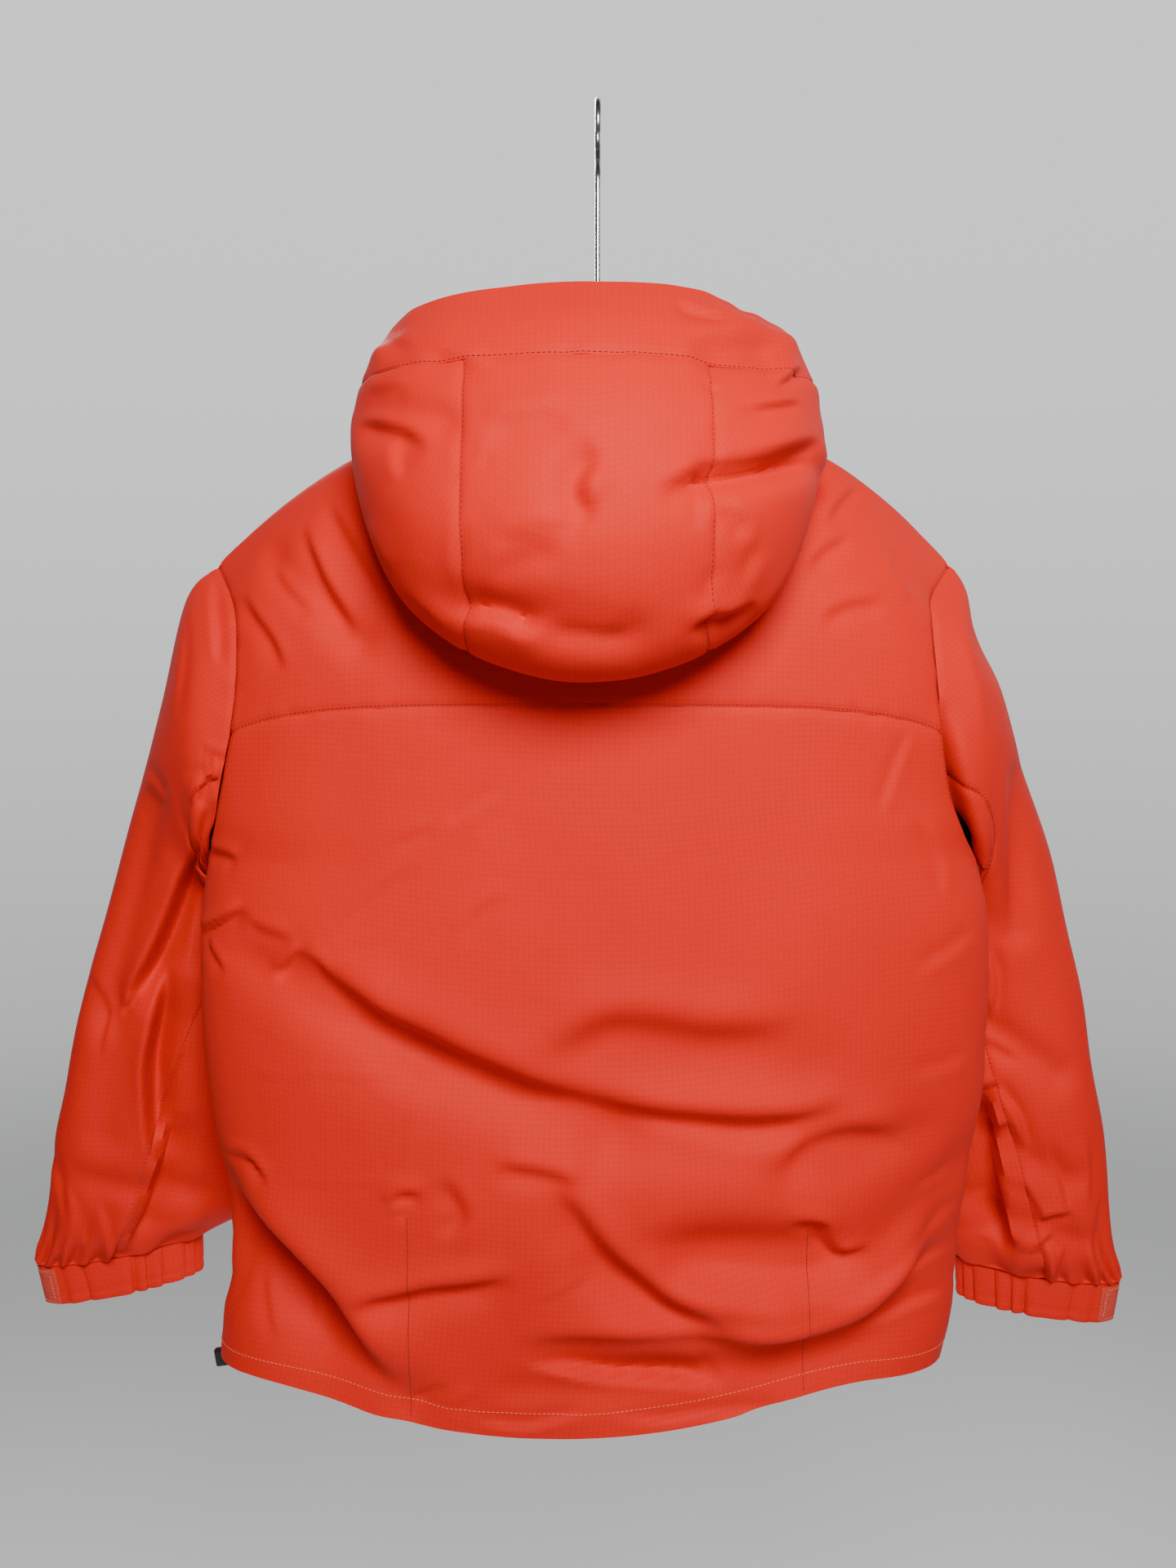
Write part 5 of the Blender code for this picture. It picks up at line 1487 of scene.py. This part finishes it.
# %% Hood
seam_row = BRIM_ROW * HOOD_FINE
middle = hood.shape[1] // 2
reach = HOOD_CENTRE_COLUMNS * HOOD_FINE
below_brim = slice(0, seam_row + 1)
hood_pieces = {
    "hood_side_left": (below_brim, slice(0, middle - reach + 1), ("right", "top")),
    "hood_centre": (below_brim, slice(middle - reach, middle + reach + 1), ("left", "right", "top")),
    "hood_side_right": (below_brim, slice(middle + reach, None), ("left", "top")),
    "hood_brim": (slice(seam_row, None), slice(None), ("bottom",)),
}
hood_normals = grid_normals(hood)
hood_base = large_folds(hood, hood_normals) + creased(hood, hood_normals, HOOD_CREASES, -1)
hood_base += padded_lumps(hood, 9.0, 1.2) + edge_shape(hood, hood_normals, HOOD_EDGE)
hood_surfaces = {}
for seed, (name, (rows, chosen, edges)) in enumerate(hood_pieces.items(), start=10):
    piece = hood[rows, chosen]
    distances = edge_distances(piece)
    total = hood_base[rows, chosen].copy()
    for edge in edges:
        total += seam_relief(*distances[edge], seed)
    hood_surfaces[name] = sew(f"{name}_cloth", piece, hood_normals[rows, chosen], total, name)

# %% [markdown]
# ## Cuffs
# Each cuff is a band of the same cloth drawn in by elastic, so it stands in short upright pleats. The
# outer side is flat under a hook-and-loop patch. Pleats are a wave round the ring, deepest at the
# bottom edge, and uneven, because elastic never gathers evenly.

# %% Cuff bands
CUFF_POINTS = 360
CUFF_LINES = 14
PATCH_END = 0.1  # share of the ring from the outer edge to the patch's end
PLEATS = 17
PLEAT_DEPTH = (0.0030, 0.0062)
GATHER = 1.25  # flat length of a cuff over the length it is drawn in to
CUFF_CUT = 0.038


def cuff_rings(sleeve, lines, pleated):
    """The cuff from the sleeve's end downwards, its points once round from the outer edge."""
    middle, half_width, half_depth = section_frame(sleeve, len(sleeve["half"]) - 1)
    down = unit(np.cross(half_width, half_depth))
    down = down if down[2] < 0 else -down
    turn = np.arange(CUFF_POINTS) / CUFF_POINTS
    angle = (turn * 2 * math.pi)[:, None]
    arms = np.cos(angle) * half_width + np.sin(angle) * half_depth
    bare = eased((np.minimum(turn, 1 - turn) - PATCH_END) / 0.03)
    uneven = 0.5 * np.sin(6 * math.pi * turn) + 0.25 * np.sin(14 * math.pi * turn)
    wave = np.abs(np.sin(math.pi * (PLEATS * turn + uneven))) ** 0.7
    rows = []
    for share in np.arange(lines + 1) / lines:
        inset = (1 - wave) * bare * mix(*PLEAT_DEPTH, share) if pleated else 0 * wave
        band = middle + arms * mix(0.985, CUFF_TAPER, share) + down * (0.0006 + CUFF_DROP * share)
        rows.append(band - unit(arms) * inset[:, None])
    return np.array(rows)[::-1]


for side, sleeve in SLEEVES.items():
    outer, plain = (cuff_rings(sleeve, CUFF_LINES, pleated) for pleated in (True, False))
    if side == "right":
        outer, plain = outer[:, ::-1], plain[:, ::-1]
    normals = grid_normals(plain, closed=True)
    along, up = measured(plain)
    cut = (float(along[:, -1].max()) * GATHER, CUFF_CUT)
    roll = -0.0006 * np.exp(-(((up - 0.0085) / 0.0016) ** 2)) - 0.0009 * np.exp(-((up / 0.0012) ** 2))
    sew(f"cuff_{side}_cloth", outer, normals, roll, f"cuff_{side}", closed=True, cut=cut)

# %% [markdown]
# ## Hook-and-loop patches
# A stiff square of loop tape is sewn on the outer side of each cuff, for the strap that tightens it.
# It is a small sheet laid on the band, with rounded corners and a paler stitched border. Its loops are
# Voronoi cells, which give both the colour and the bump.

# %% Patches
PATCH_LINES = 20
PATCH_POINTS = np.arange(-44, 37)
PATCH_MIDDLE = 40
PATCH_CORNER = 0.0035
PATCH_HEIGHT = 0.0011
PATCH_LIFT = 0.0005

loop_tape, tree, shader = plain_shader("red_loop_tape", (0.60, 0.030, 0.014), 0.95)
place = node(tree, "ShaderNodeTexCoord").outputs["Object"]
loops = node(tree, "ShaderNodeTexVoronoi", {"Vector": place}, {"Scale": 1100}).outputs["Distance"]
bumped(tree, shader, loops, 0.7, 0.0006)
tinted(tree, shader, loops, (0.34, 0.014, 0.008), (0.78, 0.070, 0.040))

patch_surfaces = {}
for side, sleeve in SLEEVES.items():
    plain = cuff_rings(sleeve, PATCH_LINES, False)
    chosen = PATCH_POINTS % CUFF_POINTS
    if side == "right":
        plain = plain[:, ::-1]
        chosen = (CUFF_POINTS - 1 - chosen)[::-1] % CUFF_POINTS
    normals = grid_normals(plain, closed=True)[:, chosen]
    patch = plain[:, chosen]
    along, up = measured(patch)
    near_end = np.minimum(up, up[-1:] - up)
    missing = np.maximum(PATCH_CORNER - near_end, 0)
    corner = PATCH_CORNER - np.sqrt(np.maximum(PATCH_CORNER**2 - missing**2, 0))
    middle_line = patch[:, PATCH_MIDDLE : PATCH_MIDDLE + 1]
    drawn_in = (1 - corner / (along[:, -1:] / 2))[..., None]
    patch = middle_line + (patch - middle_line) * drawn_in + normals * PATCH_LIFT
    edge = np.minimum(near_end, np.minimum(along, along[:, -1:] - along))
    border = 0.0005 * np.exp(-(((edge - 0.003) / 0.0008) ** 2))
    height = PATCH_HEIGHT * eased(edge / 0.0012 + 0.35) - border
    patch_surfaces[side] = sew(
        f"cuff_patch_{side}_cloth", patch[1:-1], normals[1:-1], height[1:-1], f"cuff_patch_{side}",
        wall=0.0010, cloth=(loop_tape, lining),
    )

# %% [markdown]
# ## Thread
# The sewing thread is darker than the cloth, and the thread of the hem is paler. Both are plain
# finishes with a fine grain, as the plastics and metals further down are, so one helper makes them all.

# %% Thread
def grained(name, colour, roughness, scale, detail, strength, distance, metallic=0.0, spread=None):
    """A plain finish with a fine grain in its bump and, for a spread, in its gloss."""
    material, tree, shader = plain_shader(name, colour, roughness, metallic)
    grain = noise(tree, scale, detail)
    bumped(tree, shader, grain, strength, distance)
    if spread:
        ends = {"To Min": roughness * spread[0], "To Max": roughness * spread[1]}
        gloss = node(tree, "ShaderNodeMapRange", {"Value": grain}, ends)
        tree.links.new(gloss.outputs["Result"], shader.inputs["Roughness"])
    return material


dark_thread = grained("dark_red_thread", (0.20, 0.010, 0.006), 0.55, 2500, 1.0, 0.4, 0.0002)
pale_thread = grained("pale_red_thread", (0.80, 0.16, 0.09), 0.55, 2500, 1.0, 0.4, 0.0002)
print("threads", dark_thread.name, pale_thread.name)

# %% [markdown]
# ## Stitches
# Thread lies along the seams as short dashes. One dash is a small tapered block of a few faces, and
# every row of stitches is one piece made of its copies, because a real row is one thread.

# %% Stitches
DASH_HEIGHT = 0.0004
DASH_SINK = 0.0003
DASH_BASE = [(-1, -0.5, 0), (1, -0.5, 0), (1, 0.5, 0), (-1, 0.5, 0)]
DASH_POINTS = DASH_BASE + [(x * 0.6, y * 0.6, 1) for x, y, _ in DASH_BASE]
DASH_SIDES = [(3, 2, 1, 0), (4, 5, 6, 7), (0, 1, 5, 4), (1, 2, 6, 5), (2, 3, 7, 6), (3, 0, 4, 7)]


def run_of(line):
    """Length from the first point of a line to each of its points."""
    return np.concatenate([[0], np.cumsum(np.linalg.norm(np.diff(line, axis=0), axis=1))])


def stitches(name, lines, material, pitch=0.0032, length=0.0021, width=0.0006, lift=0.00025):
    """Dashes along one or several lines, each given as its points and the cloth's normals there."""
    points, faces = [], []
    for line, normals in lines:
        run = run_of(line)
        at = np.arange(pitch, run[-1] - pitch, pitch)
        middles, outs = (np.stack([np.interp(at, run, values) for values in part.T], axis=-1)
                         for part in (line, normals))
        outs = unit(outs)
        ahead = unit(np.gradient(middles, axis=0))
        beside = unit(np.cross(outs, ahead))
        for middle, out, forward, across in zip(middles, outs, ahead, beside):
            first = len(points)
            for a, b, c in DASH_POINTS:
                flat = forward * a * length / 2 + across * b * width
                points.append(middle + flat + out * (c * DASH_HEIGHT + lift - DASH_SINK))
            faces += [tuple(first + corner for corner in side) for side in DASH_SIDES]
    mesh = bpy.data.meshes.new(name)
    mesh.from_pydata([tuple(point) for point in points], [], faces)
    mesh.materials.append(material)
    row = placed(name, mesh)
    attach(row, "jacket")
    print(name, len(faces) // len(DASH_SIDES), "stitches")


print("a dash of", len(DASH_SIDES), "faces")

# %% [markdown]
# ## Lines on a panel
# A row of stitches is read from the creased surface of its panel, between the rows or the columns of
# its grid, so the thread follows every fold.

# %% Lines on a panel
def read_line(surface, rows, columns):
    """Points of a surface at row and column numbers that need not be whole."""
    rows, columns = np.broadcast_arrays(np.asarray(rows, float), np.asarray(columns, float))
    low_row = np.clip(rows.astype(int), 0, surface.shape[0] - 2)
    low_column = np.clip(columns.astype(int), 0, surface.shape[1] - 2)
    up = (rows - low_row)[:, None]
    along = (columns - low_column)[:, None]
    lower = mix(surface[low_row, low_column], surface[low_row, low_column + 1], along)
    upper = mix(surface[low_row + 1, low_column], surface[low_row + 1, low_column + 1], along)
    return mix(lower, upper, up)


def along_row(surface, normals, row, first=0, last=None):
    """Points and directions along a row of a surface, from one column to another."""
    columns = np.arange(first, (last or surface.shape[1] - 1) + 1)
    return read_line(surface, row, columns), read_line(normals, row, columns)


def along_column(surface, normals, column, first=0, last=None):
    """Points and directions up a column of a surface, from one row to another."""
    rows = np.arange(first, (last or surface.shape[0] - 1) + 1)
    return read_line(surface, rows, column), read_line(normals, rows, column)


print("the hem of the back has", len(along_row(back_surface, back_normals, 5.6)[0]), "points to sew along")

# %% [markdown]
# ## Stitched seams
# The rows run about half a column or half a row beside their seams, and a few rows above the hem. On
# the sleeves only the upper part is stitched, beside both of its seams.

# %% Stitched seams
SEAM_SIDE = 0.6
HEM_ROW = {"back": 5.6, "front": 4.0}

stitches("yoke_stitches", [along_row(yoke_surface, yoke_normals, 0.55)], dark_thread)
both_sides = (SEAM_SIDE, back.shape[1] - 1 - SEAM_SIDE)
underarm = SIDE_ROWS * BACK_FINE
armhole_lines = [along_column(yoke_surface, yoke_normals, column) for column in both_sides]
armhole_lines += [along_column(back_surface, back_normals, column, underarm) for column in both_sides]
stitches("armhole_stitches", armhole_lines, dark_thread)
hem_lines = [along_row(back_surface, back_normals, HEM_ROW["back"])]
for side, grid in fronts.items():
    hem_lines.append(along_row(front_surfaces[side], grid_normals(grid), HEM_ROW["front"]))
stitches("hem_stitches", hem_lines, pale_thread, 0.0034, 0.0022, 0.00055)
centre_rows, centre_columns, _ = hood_pieces["hood_centre"]
centre = (hood_surfaces["hood_centre"], hood_normals[centre_rows, centre_columns])
hood_lines = [along_column(*centre, column, 4) for column in (0.5, 2 * reach - 0.5)]
hood_lines.append(along_row(hood_surfaces["hood_brim"], hood_normals[seam_row:], 0.5))
stitches("hood_stitches", hood_lines, dark_thread, 0.0036, 0.0024)
sleeve_lines = []
for side, grid in sleeve_grids.items():
    picked = sleeve_part("upper", side)
    normals = grid_normals(grid, closed=True)[:, picked]
    for column in (0.7, len(picked) - 1 - 0.7):
        sleeve_lines.append(along_column(sleeve_surfaces[f"sleeve_upper_{side}"], normals, column))
stitches("sleeve_stitches", sleeve_lines, dark_thread, 0.0036, 0.0022)

# %% [markdown]
# ## Darts and patch stitching
# Two short darts shape the low back. Here they are only rows of stitches that run down to the hem. The
# patches have a stitched border, one row along each of their four edges.

# %% Dart seams
DART_ROWS = 60  # rows above the hem in which a dart can lie
MIDDLE_COLUMN = HALF_COLUMNS * BACK_FINE


def dart(from_x, from_z, to_x):
    """A line down the back from a dart's top to the hem."""
    line, normals = [], []
    for row in range(1, DART_ROWS):
        points = back_surface[row]
        height = points[MIDDLE_COLUMN, 2]
        if height > from_z + 0.02:
            continue
        share = (height - from_z) / (points[1, 2].min() - from_z)
        x = mix(from_x, to_x, np.clip(share, 0, 1))
        column = np.interp(x, points[:, 0], np.arange(len(points)))
        place = read_line(back_surface, [row], [column])[0]
        if place[2] < from_z:
            line.append(place)
            normals.append(read_line(back_normals, [row], [column])[0])
    return np.array(line), unit(np.array(normals))


darts = [dart(-0.140, -0.803, -0.138), dart(0.158, -0.822, 0.154)]
stitches("dart_stitches", darts, dark_thread, 0.0026, 0.0024, 0.0006, 0.0003)
patch_lines = []
for surface in patch_surfaces.values():
    normals = grid_normals(surface)
    top, end = surface.shape[0] - 1, surface.shape[1] - 1
    patch_lines += [along_row(surface, normals, row, 5, end - 5) for row in (1.4, top - 1.4)]
    patch_lines += [along_column(surface, normals, column, 2, top - 2) for column in (6, end - 6)]
stitches("patch_stitches", patch_lines, pale_thread, 0.0026, 0.0017, 0.0005, 0.0003)

# %% [markdown]
# ## Front zip
# The zip can't be seen from behind, but it is what a buyer opens first. Its teeth are small moulded
# blocks: one is modelled, and copies of it stand alternately left and right down the line of the zip,
# so that the two rows mesh.

# %% Zip teeth
TOOTH_SIZE = (0.0030, 0.0016, 0.0014)
TOOTH_PITCH = 0.0026
TOOTH_OUT = 0.0012  # from the middle of the zip to the middle of a tooth
TEETH_BEHIND = 0.0034  # behind the edge of the fronts
TEETH_ENDS = (0.006, 0.018)  # left free at the hem and at the top

bpy.ops.mesh.primitive_cube_add(size=1)
tooth = bpy.context.object
tooth.scale = TOOTH_SIZE
bpy.ops.object.transform_apply(location=False, rotation=False, scale=True)
rounding = tooth.modifiers.new("rounded", "BEVEL")
rounding.width = 0.0003
rounding.segments = 1
bpy.ops.object.modifier_apply(modifier=rounding.name)
tooth_points = np.array([vertex.co[:] for vertex in tooth.data.vertices])
tooth_faces = [tuple(face.vertices) for face in tooth.data.polygons]
bpy.data.objects.remove(tooth)

zip_edge = np.concatenate([fronts["left"][:-1, 0], hood[:, 0]])[:, 1:]
run = run_of(zip_edge)
at = np.arange(TEETH_ENDS[0], run[-1] - TEETH_ENDS[1], TOOTH_PITCH)
centres = np.stack([np.interp(at, run, values) for values in zip_edge.T], axis=-1)
slopes = unit(np.gradient(centres, axis=0))
points, faces = [], []
for centre_point, slope in zip(centres, slopes):
    forward = np.array([slope[1], -slope[0]])
    for side in (-1, 1):
        base = centre_point - forward * TEETH_BEHIND + slope * TOOTH_PITCH / 2 * (side > 0)
        first = len(points) * len(tooth_points)
        flat = base + tooth_points[:, 1:2] * forward + tooth_points[:, 2:3] * slope
        points.append(np.column_stack([tooth_points[:, 0] + side * TOOTH_OUT, flat]))
        faces += [tuple(first + corner for corner in face) for face in tooth_faces]
mesh = bpy.data.meshes.new("zip_teeth")
mesh.from_pydata(np.concatenate(points).tolist(), [], faces)
mesh.materials.append(grained("dark_red_moulded_teeth", (0.22, 0.012, 0.008), 0.38, 900, 2.0, 0.15, 0.0002))
teeth = placed("zip_teeth", mesh)
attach(teeth, "jacket")
print(2 * len(at), "teeth over", round(float(run[-1]), 3), "m")

# %% [markdown]
# ## Tapes, slider and pull tab
# These four keep the solids of the frame, because their plain shapes are already right, and get only a
# finish: woven twill for the tapes, as a diagonal wave in the bump, and dark metal for the rest.

# %% Tapes, slider and tab
METAL_SPREAD = (0.8, 1.35)

zip_metal = grained(
    "dark_zip_metal", (0.20, 0.19, 0.19), 0.34, 700, 3.0, 0.06, 0.0004, metallic=1.0, spread=METAL_SPREAD
)
tape_cloth, tree, shader = plain_shader("red_zip_tape", (0.34, 0.009, 0.004), 0.78)
place = node(tree, "ShaderNodeTexCoord").outputs["Object"]
bands = {"wave_type": "BANDS", "bands_direction": "DIAGONAL"}
twill = node(tree, "ShaderNodeTexWave", {"Vector": place}, {"Scale": 260}, **bands)
bumped(tree, shader, twill.outputs["Fac"], 0.5, 0.0003)
finishes = {
    "zip_tape_left": tape_cloth,
    "zip_tape_right": tape_cloth,
    "zip_slider": zip_metal,
    "zip_pull_tab": zip_metal,
}
for name, finish in finishes.items():
    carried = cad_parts[name]
    carried.data.materials.clear()
    carried.data.materials.append(finish)
print(len(finishes), "carried-over nodes have their finish")

# %% [markdown]
# ## Line of the hanger
# One bright wire makes the hook, the shank and the shoulders. The hook is part of a circle that eases
# into the shank. The shoulders run a wire's width below the seams of the jacket, with more room near
# the neck, and the bar below joins their ends.

# %% Line of the hanger
WIRE_RADIUS = 0.00215
HOOK_RADIUS = 0.0190
HOOK_DEGREES = range(205, -41, -5)
SHANK_TOP = -0.052
HANGER_NECK = -0.186
ROOM = (0.0007, 0.0028)  # under the shoulder seam, and near the neck
ARM_REACH = 0.205
ARM_START = ((0.010, 0.004), (0.045, 0.021))  # out from the neck, and down
ARM_END = ((0.008, 0.007), (0.007, 0.015), (-0.004, 0.021))  # on from the last point under the seam

hook = []
for degrees in HOOK_DEGREES:
    angle = math.radians(degrees)
    rise = WIRE_RADIUS - HOOK_RADIUS + HOOK_RADIUS * math.sin(angle)
    hook.append((0, HOOK_RADIUS * math.cos(angle), rise))
_, elbow_y, elbow_z = hook[-1]
for share in (0.2, 0.35, 0.5, 0.7, 0.85):
    hook.append((0, mix(elbow_y, 0, float(eased(share))), mix(elbow_z, SHANK_TOP, share)))
hook += [(0, 0, mix(SHANK_TOP, HANGER_NECK - 0.005, share)) for share in np.linspace(0, 1, 9)]


def hanger_arm(side):
    """The wire from the neck out to its bend, under the shoulder seam."""
    seam = top_edge(side, False, 1)[NECK_COLUMNS:, [0, 2]]
    slant = unit(np.gradient(seam, axis=0)) * side
    down = np.stack([slant[:, 1], -slant[:, 0]], axis=-1)
    near_neck = np.clip(1 - np.arange(len(seam)) / 3, 0, 1)[:, None]
    under = seam + down * (SOLID_WALL + WIRE_RADIUS + mix(*ROOM, near_neck))
    arm = [(side * x, 0, HANGER_NECK - drop) for x, drop in ARM_START]
    arm += [(x, 0, z) for x, z in under if abs(x) < ARM_REACH]
    x, _, z = arm[-1]
    return arm + [(x + side * out, 0, z - drop) for out, drop in ARM_END]


arms = np.array(hanger_arm(-1)[::-1] + hanger_arm(1), float)
bar = [mix(arms[-1], arms[0], share) for share in (0.25, 0.5, 0.75)]
loop = np.concatenate([arms, bar, arms[:1]])
loop = catmull(loop, np.linspace(0, len(loop) - 1, (len(loop) - 1) * 5 + 1))[:-1]
print("hook of", len(hook), "points, loop of", len(loop))

# %% [markdown]
# ## Wire
# A curve with a round bevel is the plain way to draw wire. It is then made a mesh, so that its place
# lies in the mesh as a solid's does, and the two wires are joined into one piece.

# %% Wire
wires = []
for name, run, cyclic in (("hanger_hook", hook, False), ("hanger_loop", loop, True)):
    curve = bpy.data.curves.new(name, "CURVE")
    curve.dimensions = "3D"
    curve.bevel_depth = WIRE_RADIUS
    curve.bevel_resolution = 5
    curve.use_fill_caps = True
    spline = curve.splines.new("POLY")
    spline.points.add(len(run) - 1)
    for point, place in zip(spline.points, run):
        point.co = (*place, 1)
    spline.use_cyclic_u = cyclic
    wires.append(placed(name, curve))
bpy.ops.object.select_all(action="DESELECT")
for wire in wires:
    wire.select_set(True)
bpy.context.view_layer.objects.active = wires[0]
bpy.ops.object.convert(target="MESH")
bpy.ops.object.join()
hanger = bpy.context.object
hanger.name = "wire_hanger"
hanger.data.materials.clear()
hanger.data.materials.append(grained(
    "chrome_wire", (0.46, 0.46, 0.47), 0.16, 260, 3.0, 0.06, 0.0004, metallic=1.0, spread=METAL_SPREAD
))
hanger.data.shade_smooth()
hanger.data.set_sharp_from_angle(angle=math.radians(50))
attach(hanger, "jacket")
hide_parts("hanger")
print("hanger of", len(hanger.data.polygons), "faces")

# %% [markdown]
# ## Cord lock
# A flat square lock of glossy black plastic sits under the left end of the hem, where the hem cord
# would come out. Its edges are rounded and its faces have a shallow raised border. It starts as a cube,
# is bevelled all round, and its two flat faces are inset twice.

# %% Lock
LOCK_SIZE = (0.0160, 0.0070, 0.0160)
LOCK_TURN = -8
EDGE_ROUNDING = 0.0026
BORDER = 0.0009
BORDER_HEIGHT = 0.0005

low, high = (np.array(corner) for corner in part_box("cord_lock"))
bpy.ops.object.select_all(action="DESELECT")
bpy.ops.mesh.primitive_cube_add(size=1, location=(low + high) / 2)
lock = bpy.context.object
lock.name = "cord_lock_body"
lock.scale = LOCK_SIZE
bpy.ops.object.transform_apply(location=False, rotation=False, scale=True)
bpy.ops.object.mode_set(mode="EDIT")
bpy.ops.mesh.select_all(action="SELECT")
bpy.ops.mesh.bevel(offset=EDGE_ROUNDING, segments=5, profile=0.6)
bpy.ops.object.mode_set(mode="OBJECT")
for face in lock.data.polygons:
    face.select = abs(face.normal.y) > 0.99 and face.area > 0.00005
bpy.ops.object.mode_set(mode="EDIT")
bpy.ops.mesh.select_mode(type="FACE")
bpy.ops.mesh.inset(thickness=BORDER, depth=0)
bpy.ops.mesh.inset(thickness=0.0004, depth=-BORDER_HEIGHT)
bpy.ops.transform.resize(value=(0.96, 1, 0.96))
bpy.ops.object.mode_set(mode="OBJECT")
lock.rotation_euler = (0, math.radians(LOCK_TURN), 0)
bpy.ops.object.transform_apply(location=True, rotation=True, scale=True)
bpy.ops.object.shade_smooth_by_angle(angle=math.radians(40))
black = grained("glossy_black_plastic", (0.010, 0.010, 0.011), 0.14, 420, 2.0, 0.05, 0.0003)
lock.data.materials.append(black)
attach(lock, "jacket")
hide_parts("cord_lock")
print("cord lock of", len(lock.data.polygons), "faces")

# %% Finish
bpy.ops.object.select_all(action="DESELECT")
